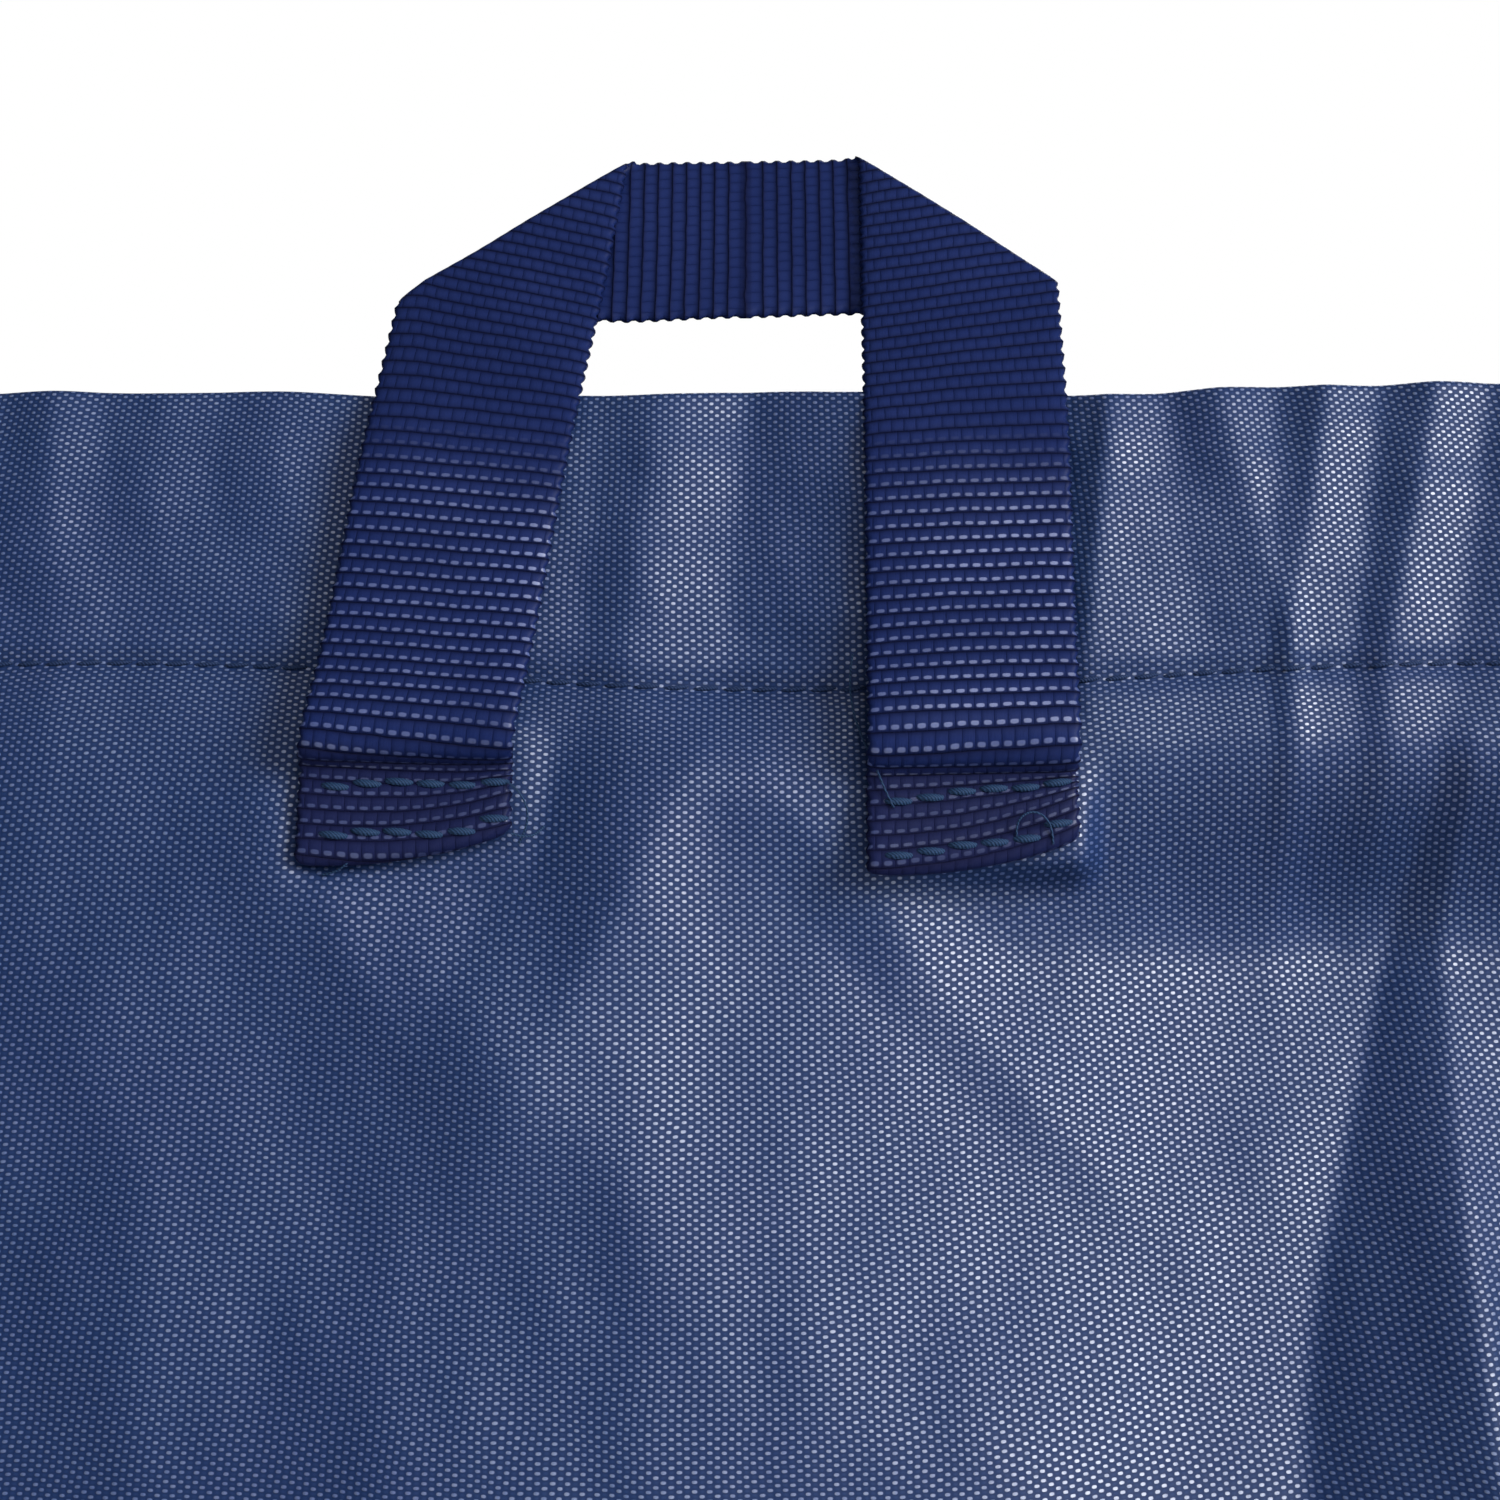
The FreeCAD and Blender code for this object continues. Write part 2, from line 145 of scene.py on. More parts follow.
# ---------------------------------------------------------------- meshes
@dataclass
class Draft:
    """Points, faces and map places that are gathered before a mesh is made."""

    points: list[np.ndarray] = field(default_factory=list)
    places: list[np.ndarray] = field(default_factory=list)
    faces: list[np.ndarray] = field(default_factory=list)
    total: int = 0

    def grid(self, points: np.ndarray, places: np.ndarray | None = None, wrap: bool = False,
             flip: bool = False) -> None:
        """Adds a surface given as rows and columns of points.

        Args:
            points: Array of rows x columns x 3, in millimetres.
            places: Array of rows x columns x 2 for the map, in millimetres.
            wrap: Joins the last column to the first.
            flip: Turns the faces round.
        """
        rows, columns = points.shape[:2]
        index = np.arange(rows * columns).reshape(rows, columns) + self.total
        after = np.roll(index, -1, axis=1)
        last = columns if wrap else columns - 1
        quads = np.stack([index[:-1, :last], after[:-1, :last], after[1:, :last], index[1:, :last]], -1)
        self._take(points, places, quads.reshape(-1, 4), flip)

    def ends(self, count: int) -> None:
        """Closes a tube's first and last rows, which have this many points."""
        index = np.arange(count)[None]
        self.faces += [index[:, ::-1], index + self.total - count]

    def islands(self, points: np.ndarray) -> None:
        """Adds many small closed tubes, each a grid whose columns go round, with flat ends.

        Args:
            points: Array of pieces x rows x columns x 3, in millimetres.
        """
        pieces, rows, columns = points.shape[:3]
        index = np.arange(pieces * rows * columns).reshape(pieces, rows, columns) + self.total
        after = np.roll(index, -1, axis=2)
        quads = np.stack([index[:, :-1], after[:, :-1], after[:, 1:], index[:, 1:]], -1)
        self.faces += [index[:, 0, ::-1], index[:, -1]]
        self._take(points, None, quads.reshape(-1, 4), False)

    def _take(self, points: np.ndarray, places: np.ndarray | None, quads: np.ndarray,
              flip: bool) -> None:
        """Stores points, map places and faces.

        Args:
            points: Points, with a last axis of 3.
            places: Their places on the map, or None for pieces without a woven pattern.
            quads: Four corners of each face.
            flip: Turns the faces round.
        """
        flat = points.reshape(-1, 3)
        self.points.append(flat)
        self.places.append(np.zeros((len(flat), 2)) if places is None else places.reshape(-1, 2))
        self.faces.append(quads[:, ::-1] if flip else quads)
        self.total += len(flat)

    def build(self, name: str, material: bpy.types.Material, merge: bool = False) -> bpy.types.Object:
        """Makes the mesh object, smooth, with its map called weave.

        Args:
            name: Name of the piece.
            material: Its finish.
            merge: Joins points that lie on each other.

        Returns:
            The new object, at the origin.
        """
        mesh = bpy.data.meshes.new(name)
        corners = np.concatenate([faces.ravel() for faces in self.faces]).astype(np.int32)
        sizes = np.concatenate([np.full(len(faces), faces.shape[1]) for faces in self.faces])
        mesh.vertices.add(self.total)
        mesh.vertices.foreach_set("co", (np.concatenate(self.points) * MM).ravel())
        mesh.loops.add(len(corners))
        mesh.loops.foreach_set("vertex_index", corners)
        mesh.polygons.add(len(sizes))
        mesh.polygons.foreach_set("loop_start", (np.cumsum(sizes) - sizes).astype(np.int32))
        mesh.update(calc_edges=True)
        layer = mesh.uv_layers.new(name="weave")
        layer.data.foreach_set("uv", np.concatenate(self.places)[corners].astype(np.float32).ravel())
        mesh.polygons.foreach_set("use_smooth", np.ones(len(mesh.polygons), dtype=bool))
        mesh.materials.append(material)
        if merge:
            work = bmesh.new()
            work.from_mesh(mesh)
            bmesh.ops.remove_doubles(work, verts=work.verts, dist=1e-6)
            work.to_mesh(mesh)
            work.free()
        mesh.update()
        piece = bpy.data.objects.new(name, mesh)
        bpy.context.scene.collection.objects.link(piece)
        return piece


def turn_outwards(piece: bpy.types.Object) -> None:
    """Turns a closed piece's faces outwards.

    Args:
        piece: The piece, its points already merged.
    """
    work = bmesh.new()
    work.from_mesh(piece.data)
    bmesh.ops.recalc_face_normals(work, faces=work.faces)
    work.to_mesh(piece.data)
    work.free()


def round_places(count: int) -> np.ndarray:
    """Angles evenly round a circle, the first at 0 and the last short of a whole turn."""
    return np.linspace(0, 2 * np.pi, count, endpoint=False)


def unit(vectors: np.ndarray) -> np.ndarray:
    """Rows made one unit long."""
    return vectors / np.linalg.norm(vectors, axis=1, keepdims=True)


def tube(path: np.ndarray, radius: float, across: tuple[float, float, float], sides: int) -> np.ndarray:
    """Round section carried along a path: path + radius (cos(turn) first + sin(turn) second).

    Args:
        path: Points of the path, rows x 3.
        radius: Its radius.
        across: Direction that is never along the path.
        sides: Points round the section.

    Returns:
        Grid of rows x sides x 3.
    """
    along = unit(np.gradient(path, axis=0))
    first = unit(np.cross(along, np.array(across, float)))
    second = np.cross(along, first)
    turn = round_places(sides)[None, :, None]
    return path[:, None] + radius * (np.cos(turn) * first[:, None] + np.sin(turn) * second[:, None])


@dataclass(frozen=True)
class Stitch:
    """One visible stitch: a short thread that dives into the cloth at both ends."""

    pitch: float
    length: float
    radius: float
    lift: float

    def lay(self, centre: np.ndarray, along: np.ndarray, out: np.ndarray) -> np.ndarray:
        """Stitches at many places at once.

        The thread's line is centre + along * a * length / 2 + out * lift * (1 - 2 a^4), and its
        radius shrinks as sqrt(1 - 0.9 a^2), with a from -1 to 1.

        Args:
            centre: Places, rows x 3.
            along: Unit direction of each stitch.
            out: Unit direction off the cloth.

        Returns:
            Pieces x rows x columns x 3, for Draft.islands.
        """
        a = np.array([-1.0, -0.8, -0.3, 0.3, 0.8, 1.0])[None, :, None]
        line = (centre[:, None] + along[:, None] * a * self.length / 2
                + out[:, None] * self.lift * (1 - 2 * a ** 4))
        side = np.cross(out, along)
        turn = round_places(6)[None, None, :, None]
        size = (self.radius * np.sqrt(1 - 0.9 * a * a))[..., None]
        return (line[:, :, None] + size * (np.cos(turn) * out[:, None, None]
                                           - np.sin(turn) * side[:, None, None]))


# ---------------------------------------------------------------- shader helpers
class Number:
    """A number in a material, on which ordinary arithmetic adds Math nodes."""

    def __init__(self, graph: "Graph", socket: bpy.types.NodeSocket) -> None:
        """Wraps a node's output."""
        self.graph = graph
        self.socket = socket

    def apply(self, operation: str, *others: "Number | float") -> "Number":
        """Math node on this number and up to two more."""
        inputs = dict(enumerate((self, *others)))
        return self.graph.number("ShaderNodeMath", {"operation": operation}, inputs)

    def __add__(self, other: "Number | float") -> "Number":
        """Sum."""
        return self.apply("ADD", other)

    def __sub__(self, other: "Number | float") -> "Number":
        """Difference."""
        return self.apply("SUBTRACT", other)

    def __mul__(self, other: "Number | float") -> "Number":
        """Product."""
        return self.apply("MULTIPLY", other)

    def __pow__(self, other: "Number | float") -> "Number":
        """Power."""
        return self.apply("POWER", other)

    def __rsub__(self, other: float) -> "Number":
        """A plain number less this one."""
        return self * -1.0 + other

    def __neg__(self) -> "Number":
        """This number with its sign changed."""
        return self * -1.0

    __radd__ = __add__
    __rmul__ = __mul__

    def clamp(self) -> "Number":
        """This number kept between 0 and 1."""
        return self.graph.number("ShaderNodeClamp", {}, {"Value": self})

    def ramp(self, low: float, high: float) -> "Number":
        """Smooth step of this number.

        Args:
            low: Where the step is still 0.
            high: From where it is 1.

        Returns:
            The step's value.
        """
        settings = {"interpolation_type": "SMOOTHSTEP"}
        return self.graph.number("ShaderNodeMapRange", settings,
                                 {"Value": self, "From Min": low, "From Max": high})


class Graph:
    """Node tree of one material."""

    def __init__(self, name: str) -> None:
        """Starts a material with an empty node tree.

        Args:
            name: Name of the finish.
        """
        self.material = bpy.data.materials.new(name)
        self.material.use_nodes = True
        self.nodes = self.material.node_tree.nodes
        self.links = self.material.node_tree.links
        self.nodes.clear()

    def add(self, kind: str, settings: dict, inputs: dict) -> bpy.types.Node:
        """Adds a node.

        Args:
            kind: Type of the node.
            settings: Properties, set first; "stops" holds a ramp's places and colours.
            inputs: Values or links by socket name or number.

        Returns:
            The new node.
        """
        node = self.nodes.new(kind)
        for name, value in settings.items():
            if name == "stops":
                for number, (place, colour) in enumerate(value):
                    elements = node.color_ramp.elements
                    stop = elements[number] if number < len(elements) else elements.new(place)
                    stop.position = place
                    stop.color = (*colour, 1.0)
            else:
                setattr(node, name, value)
        for name, value in inputs.items():
            socket = node.inputs[name]
            if isinstance(value, Number):
                self.links.new(value.socket, socket)
            elif isinstance(value, bpy.types.NodeSocket):
                self.links.new(value, socket)
            else:
                socket.default_value = value
        return node

    def number(self, kind: str, settings: dict, inputs: dict) -> Number:
        """Adds a node and wraps its first output."""
        return Number(self, self.add(kind, settings, inputs).outputs[0])

    def noise(self, place: bpy.types.NodeSocket, scale: float, detail: float = 2.0) -> Number:
        """Noise about 0.5 at a place, with scale cells to the unit."""
        return self.number("ShaderNodeTexNoise", {"noise_dimensions": "3D"},
                           {"Vector": place, "Scale": scale, "Detail": detail})

    def mix(self, factor: Number, low: "tuple | bpy.types.NodeSocket",
            high: "tuple | bpy.types.NodeSocket") -> bpy.types.NodeSocket:
        """Colour between two others.

        Args:
            factor: 0 for the first colour, 1 for the second.
            low: First colour, or a link that gives it.
            high: Second colour, or a link that gives it.

        Returns:
            Link that gives the colour.
        """
        pad = [(*c, 1.0) if isinstance(c, tuple) else c for c in (low, high)]
        node = self.add("ShaderNodeMix", {"data_type": "RGBA"}, {0: factor, 6: pad[0], 7: pad[1]})
        return node.outputs[2]

    def weave_place(self) -> tuple[bpy.types.NodeSocket, Number, Number]:
        """The piece's own map.

        Returns:
            Link to the map, then its two coordinates in millimetres.
        """
        place = self.add("ShaderNodeUVMap", {"uv_map": "weave"}, {}).outputs[0]
        parts = self.add("ShaderNodeSeparateXYZ", {}, {"Vector": place}).outputs
        return place, Number(self, parts[0]), Number(self, parts[1])

    def object_place(self) -> bpy.types.NodeSocket:
        """Place in the model's frame, in metres."""
        return self.add("ShaderNodeTexCoord", {}, {}).outputs["Object"]

    def finish(self, surface: dict, height: Number | None = None, depth: float = MM) -> bpy.types.Material:
        """Adds the surface shader and the output.

        Args:
            surface: Values and links of the Principled shader.
            height: Relief for the bump, in units of depth.
            depth: Size of one unit of relief in metres.

        Returns:
            The material.
        """
        inputs = dict(surface)
        if height is not None:
            bump = self.add("ShaderNodeBump", {}, {"Strength": 1.0, "Distance": depth, "Height": height})
            inputs["Normal"] = bump.outputs[0]
        shader = self.add("ShaderNodeBsdfPrincipled", {}, inputs)
        self.add("ShaderNodeOutputMaterial", {}, {"Surface": shader.outputs[0]})
        return self.material


# ---------------------------------------------------------------- finishes
@dataclass(frozen=True)
class OxfordCloth:
    """Coated blue plain-weave cloth whose yarn crowns shine as rows of dots."""

    crown_pitch: float = 1.72
    row_pitch: float = 0.515
    # painted shade: colour of the gaps between the yarns
    gap_shade: tuple = (0.0018, 0.0105, 0.045)
    crown: tuple = (0.0170, 0.0430, 0.126)
    warm: tuple = (0.0210, 0.0410, 0.128)

    def material(self) -> bpy.types.Material:
        """Makes the material.

        With u along and v up the cloth, warp crowns are where cos(2 pi u / crown_pitch) times
        cos(pi v / row_pitch) is near 1, and weft crowns where it is near -1. The gaps between the
        crowns are painted darker as shade.

        Returns:
            The material.
        """
        graph = Graph("oxford_cloth")
        place, u, v = graph.weave_place()
        drift = graph.noise(place, 0.11) - 0.5
        uneven = graph.noise(place, 0.9, 1.0)
        patch = graph.noise(place, 0.035)
        u = u + drift * 0.9
        v = v + drift * 0.5
        weave = ((u * (2 * math.pi / self.crown_pitch)).apply("COSINE")
                 * (v * (math.pi / self.row_pitch)).apply("COSINE"))
        crown = ((weave - 0.2) * 1.25).clamp()
        under = (-weave - 0.3).clamp()
        shine = crown.ramp(0.02, 0.6) * (uneven.ramp(0.25, 0.7) * 0.45 + 0.55)
        tone = graph.mix(patch.ramp(0.35, 0.7), self.crown, self.warm)
        # painted shade: the gaps between the yarn crowns get the dark gap_shade colour, the crowns the
        # cloth's tone
        colour = graph.mix(crown.ramp(0.0, 0.7) * 0.9 + under * 0.25, self.gap_shade, tone)
        height = crown * 0.095 + under * 0.02 + uneven * 0.02 + graph.noise(place, 0.16, 3.0) * 0.16
        surface = {"Base Color": colour, "Roughness": 0.55 + uneven * 0.14, "Specular IOR Level": 0.14,
                   "Coat Weight": shine, "Coat Roughness": 0.5, "Coat IOR": 1.95}
        return graph.finish(surface, height)


@dataclass(frozen=True)
class RibbedWebbing:
    """Navy webbing: rows of short floats laid like bricks, with a coat shine and a painted highlight where
    each one dives, and painted shade in its grooves.
    """

    row_pitch: float = 1.80
    float_pitch: float = 1.53
    # painted shade: colour of the grooves between ribs and floats
    groove_shade: tuple = (0.0002, 0.0012, 0.013)
    face: tuple = (0.0028, 0.0086, 0.050)
    worn: tuple = (0.0045, 0.0110, 0.058)
    # painted highlight: colour of the dashes where the floats dive
    dive_highlight: tuple = (0.050, 0.072, 0.190)
    # painted shade: colour of the sewn ends
    sewn_end_shade: tuple = (0.0035, 0.0040, 0.020)
    # where along the strap the painted highlight dashes appear
    dash_highlight_from: tuple = (58.0, 74.0)
    sewn_from: tuple = (99.0, 103.0)

    def material(self) -> bpy.types.Material:
        """Makes the material.

        Each row is a rounded rib, sqrt(1 - s^2) with s from -1 to 1 over the row, and each float
        in it a rounded bump of the same form across, moved half a float from row to row. The grooves
        are painted darker as shade and the float tops lighter. A painted highlight, a bright dash,
        stands where a float dives; the legs show them, and the sewn ends are painted darker and
        duller as shade.

        Returns:
            The material.
        """
        graph = Graph("webbing")
        place, across, along = graph.weave_place()
        drift = graph.noise(place, 0.25) - 0.5
        across = across + drift * 0.35
        run = (along + drift * 0.3) * (1.0 / self.row_pitch)
        row = run.apply("FLOOR")
        step = row.apply("MODULO", 2.0) * 0.5
        s = (run - row) * 2.0 - 1.0
        c = (across * (1.0 / self.float_pitch) + step).apply("FRACT") * 2.0 - 1.0
        rib = (1.0 - s * s).clamp() ** 0.5
        bead = (1.0 - c * c).clamp() ** 0.5
        drawn_out = graph.add("ShaderNodeVectorMath", {"operation": "MULTIPLY"},
                              {0: place, 1: (6.0, 0.8, 1.0)}).outputs[0]
        fibre = graph.noise(drawn_out, 1.0, 3.0)
        # patchy noise: real wear tone of the floats, and where the painted highlight dashes show
        wear_and_highlight_patches = graph.noise(place, 0.05)
        height = rib * 0.20 + rib * bead * 0.13 + fibre * 0.05
        floats = graph.mix(wear_and_highlight_patches.ramp(0.35, 0.7), self.face, self.worn)
        # painted shade: the grooves and the sides of each float darken towards groove_shade, the float tops
        # stay lighter
        colour = graph.mix((rib * 1.1 - 0.25).clamp() * (bead * 0.35 + 0.65), self.groove_shade, floats)
        low = s - along.apply("SIGN") * 0.5
        far = along.apply("ABSOLUTE")
        sewn = far.ramp(*self.sewn_from)
        # painted highlight: a bright dash at the lower edge of each float, on the legs only, in patches
        dash_highlight = ((1.0 - low * low * 12.0).clamp() * (1.0 - c * c * 1.7).clamp()).ramp(0.1, 0.6)
        dash_highlight = dash_highlight * far.ramp(*self.dash_highlight_from) * (wear_and_highlight_patches * 1.6 - 0.2).clamp() * (1.0 - sewn * 0.55)
        # painted shade: the sewn ends are painted darker and duller, and their highlight dashes are dimmed
        colour = graph.mix(sewn * 0.6, colour, self.sewn_end_shade)
        # painted highlight: the dash colour is mixed into the base colour
        colour = graph.mix(dash_highlight * 0.8, colour, self.dive_highlight)
        surface = {"Base Color": colour, "Roughness": 0.62 + fibre * 0.2, "Specular IOR Level": 0.05,
                   "Coat Weight": (dash_highlight + bead * rib * 0.04).clamp(), "Coat Roughness": 0.4,
                   "Coat IOR": 1.7}
        return graph.finish(surface, height)


@dataclass(frozen=True)
class PlainTape:
    """Flat woven tape or covered elastic: fine ribs along it and a dull surface."""

    name: str
    shade: tuple
    light: tuple
    rib: float
    rough: float = 0.75

    def material(self) -> bpy.types.Material:
        """Makes the material: sine waves across the tape for its ribs, and along it for its picks.

        Returns:
            The material.
        """
        graph = Graph(self.name)
        place, along, across = graph.weave_place()
        ribs = (across * (2 * math.pi / self.rib)).apply("SINE") * 0.5 + 0.5
        picks = (along * (2 * math.pi / (self.rib * 1.3))).apply("SINE") * 0.5 + 0.5
        fuzz = graph.noise(place, 2.2, 3.0)
        colour = graph.mix((ribs * 0.5 + picks * 0.3 + fuzz * 0.4).clamp(), self.shade, self.light)
        surface = {"Base Color": colour, "Roughness": self.rough + fuzz * 0.1}
        return graph.finish(surface, ribs * 0.09 + picks * 0.05 + fuzz * 0.05)


@dataclass(frozen=True)
class SewingThread:
    """Twisted polyester thread."""

    name: str
    shade: tuple
    light: tuple
    rough: float = 0.5
    twist_pitch: float = 0.42 * MM

    def material(self) -> bpy.types.Material:
        """Makes the material: slanting stripes for the twist, with uneven fibres.

        Returns:
            The material.
        """
        graph = Graph(self.name)
        place = graph.object_place()
        parts = graph.add("ShaderNodeSeparateXYZ", {}, {"Vector": place}).outputs
        lean = Number(graph, parts[0]) + Number(graph, parts[1]) * 0.6 + Number(graph, parts[2]) * 0.9
        twist = (lean * (2 * math.pi / self.twist_pitch)).apply("SINE") * 0.5 + 0.5
        fibre = graph.noise(place, 5200.0, 2.0)
        colour = graph.mix((twist * 0.6 + fibre * 0.5).clamp(), self.shade, self.light)
        surface = {"Base Color": colour, "Roughness": self.rough + fibre * 0.15,
                   "Specular IOR Level": 0.12}
        return graph.finish(surface, twist * 0.05 + fibre * 0.03)


@dataclass(frozen=True)
class PaleFloor:
    """Plain pale studio floor that runs out into the white surroundings."""

    darker: tuple = (0.80, 0.80, 0.80)
    lighter: tuple = (0.86, 0.86, 0.86)
    black: tuple = (0.0, 0.0, 0.0)
    white: tuple = (1.0, 1.0, 1.0)
    runs_out: tuple = (0.45, 1.5)

    def material(self) -> bpy.types.Material:
        """Makes the material: light grey with the faintest mottle, and white light far away.

        Returns:
            The material.
        """
        graph = Graph("pale_floor")
        place = graph.object_place()
        mottle = graph.noise(place, 3.0)
        away = graph.add("ShaderNodeVectorMath", {"operation": "LENGTH"}, {0: place}).outputs["Value"]
        far = Number(graph, away).ramp(*self.runs_out)
        colour = graph.mix(far, graph.mix(mottle, self.darker, self.lighter), self.black)
        glow = graph.mix(far, self.black, self.white)
        return graph.finish({"Base Color": colour, "Roughness": 0.9, "Specular IOR Level": 0.0,
                             "Emission Color": glow, "Emission Strength": 1.0})


# ---------------------------------------------------------------- the bag's outline
SEAM_CROSSING = 80.5   # along less out, where a corner seam crosses the corner
HEM_LINE = 362.0       # nominal height of the hem stitching
STITCH_RISE = 1.9      # how far the stitching lies above it, before it wanders
RIM = 400.0
SEWN_LOW = 343.8       # foot of a loop's sewn ends
SEWN_HIGH = 356.0      # where the webbing leaves them
FOOT_SPACING = 65.5    # between the middles of a loop's two sewn ends


class Side(Enum):
    """Wall of the bag: its way along, seen from outside, and its way out."""

    FRONT = ((1, 0), (0, -1))
    RIGHT = ((0, 1), (1, 0))
    BACK = ((-1, 0), (0, 1))
    LEFT = ((0, -1), (-1, 0))

    @property
    def long(self) -> bool:
        """True for the two long walls."""
        return self in (Side.FRONT, Side.BACK)

    @property
    def outwards(self) -> np.ndarray:
        """Unit direction out of the wall."""
        return np.array([*self.value[1], 0.0])

    def place(self, along: np.ndarray, out: np.ndarray, z: np.ndarray) -> np.ndarray:
        """Points along * way + out * outwards, at a height.

        Args:
            along: Distance along the wall from its middle.
            out: Distance out from the bag's middle.
            z: Height.

        Returns:
            Points, with a last axis of 3.
        """
        along, out, z = np.broadcast_arrays(along, out, z)
        (ax, ay), (ox, oy) = self.value
        return np.stack([along * ax + out * ox, along * ay + out * oy, z], -1)


@dataclass(frozen=True)
class Outline:
    """Rounded rectangle seen from above, which changes smoothly from the floor to the rim."""

    heights: tuple = (0.0, 45.0, 235.0, 292.15, 362.0, 400.0)
    half_widths: tuple = (186.0, 200.0, 200.0, 191.16, 181.28, 174.0)
    half_depths: tuple = (112.0, 125.0, 125.0, 112.42, 98.36, 88.0)
    radii: tuple = (50.0, 60.0, 60.0, 62.72, 65.76, 68.0)
    softness: float = 14.0

    def _soft(self, values: tuple, z: np.ndarray) -> np.ndarray:
        """Straight lines between the heights, averaged over a bell exp(-(d / softness)^2).

        Args:
            values: A size at each of the heights.
            z: Where to work it out.

        Returns:
            The size there.
        """
        fine = np.arange(-60.0, 461.0, 1.0)
        low = values[0] + (values[1] - values[0]) / (self.heights[1] - self.heights[0]) * fine
        high = values[-1] + (values[-1] - values[-2]) / (self.heights[-1] - self.heights[-2]) * (fine - RIM)
        line = np.interp(fine, self.heights, values)
        line = np.where(fine < 0, low, np.where(fine > RIM, high, line))
        reach = np.arange(-42.0, 43.0)
        bell = np.exp(-(reach / self.softness) ** 2)
        return np.interp(z, fine, np.convolve(line, bell / bell.sum(), mode="same"))

    def sizes(self, side: Side, z: np.ndarray) -> tuple[np.ndarray, np.ndarray, np.ndarray]:
        """Half size along a wall, half size out of it, and corner radius, at each height."""
        width, depth, radius = (self._soft(v, z) for v in (self.half_widths, self.half_depths, self.radii))
        return (width, depth, radius) if side.long else (depth, width, radius)

    def half_length(self, side: Side, z: np.ndarray) -> np.ndarray:
        """Length of cloth from a wall's middle to its corner seam.

        The seam is where along - out = +-SEAM_CROSSING: on the corner's arc that is the angle
        45 deg + asin((crossing - (A - B)) / (r sqrt 2)).

        Args:
            side: Which wall.
            z: Height.

        Returns:
            The length.
        """
        a, b, r = self.sizes(side, z)
        crossing = SEAM_CROSSING if side.long else -SEAM_CROSSING
        turn = np.pi / 4 + np.arcsin((crossing - (a - b)) / (r * math.sqrt(2)))
        return a - r + r * turn

    def point(self, side: Side, s: np.ndarray, z: np.ndarray, out: np.ndarray) -> np.ndarray:
        """Place on a wall.

        Up to the corner the wall is straight; past it, it follows the arc of the corner.

        Args:
            side: Which wall.
            s: Length of cloth from the wall's middle.
            z: Height.
            out: Distance outwards from the outline.

        Returns:
            Points, with a last axis of 3.
        """
        s, z, out = np.broadcast_arrays(s, z, out)
        a, b, r = self.sizes(side, z)
        sign = np.sign(s)
        far = np.abs(s)
        turn = np.maximum(0.0, far - (a - r)) / r
        along = sign * (np.minimum(far, a - r) + (r + out) * np.sin(turn))
        outward = b - r + (r + out) * np.cos(turn)
        return side.place(along, outward, z)


# ---------------------------------------------------------------- gathers and folds
@dataclass(frozen=True)
class Gather:
    """One gather of the hem: a crest with two flanks, given at the rim and at the stitching."""

    crest: tuple[float, float]
    left: tuple[float, float]
    right: tuple[float, float]
    height: tuple[float, float]


def gather_relief(gathers: list[Gather], x: np.ndarray, share: np.ndarray) -> np.ndarray:
    """Sum of the gathers' ridges.

    Args:
        gathers: The gathers.
        x: Place along the wall.
        share: 0 at the stitching and 1 at the rim; crest, flanks and height change evenly.

    Returns:
        Relief in millimetres.
    """
    total = np.zeros(np.broadcast(x, share).shape)
    for g in gathers:
        crest, left, right, height = (b + (a - b) * share for a, b in (g.crest, g.left, g.right, g.height))
        total += height * tent(x - crest, left, right)
    return total


# The front's gathers from left to right: each value at the rim, then at the stitching.
FRONT_GATHERS = [
    Gather((-66.5, -64.0), (6.0, 9.0), (7.0, 7.0), (0.6, 0.3)),
    Gather((-51.5, -50.0), (7.0, 7.0), (9.0, 8.0), (0.7, 0.4)),
    Gather((-5.2, -8.8), (6.0, 5.0), (9.4, 11.5), (1.5, 0.8)),
    Gather((6.2, 2.8), (8.0, 8.0), (12.0, 13.0), (-1.5, -1.0)),
    Gather((25.0, 23.5), (17.0, 16.5), (6.0, 6.0), (3.2, 1.8)),
    Gather((50.1, 45.4), (4.6, 2.6), (6.6, 14.0), (2.6, 1.6)),
    Gather((62.7, 71.2), (6.0, 11.5), (8.1, 1.6), (2.7, 0.9)),
    Gather((76.5, 69.8), (5.7, 1.6), (6.9, 8.5), (2.8, 1.0)),
    Gather((89.9, 81.6), (6.5, 3.3), (6.8, 8.7), (2.8, 1.6)),
    Gather((103.0, 96.0), (6.3, 5.7), (7.5, 9.0), (2.6, 1.4)),
]


def scattered_gathers(low: float, high: float, seed: int) -> list[Gather]:
    """Gathers of uneven width and lean from one place to another along a wall.

    Args:
        low: Where they start.
        high: Where they end.
        seed: Picks the widths, leans and heights.

    Returns:
        The gathers.
    """
    rng = np.random.default_rng(seed)
    made = []
    foot = low
    while foot < high:
        left, right = rng.uniform(4.0, 9.0, 2)
        lean, spread = rng.uniform(-4.5, 4.5), rng.uniform(0.8, 1.5)
        height = rng.uniform(1.4, 2.8)
        crest = foot + left
        made.append(Gather((crest, crest + lean), (left, left * spread), (right, right * spread),
                           (height, height * 0.55)))
        foot = crest + right
    return made


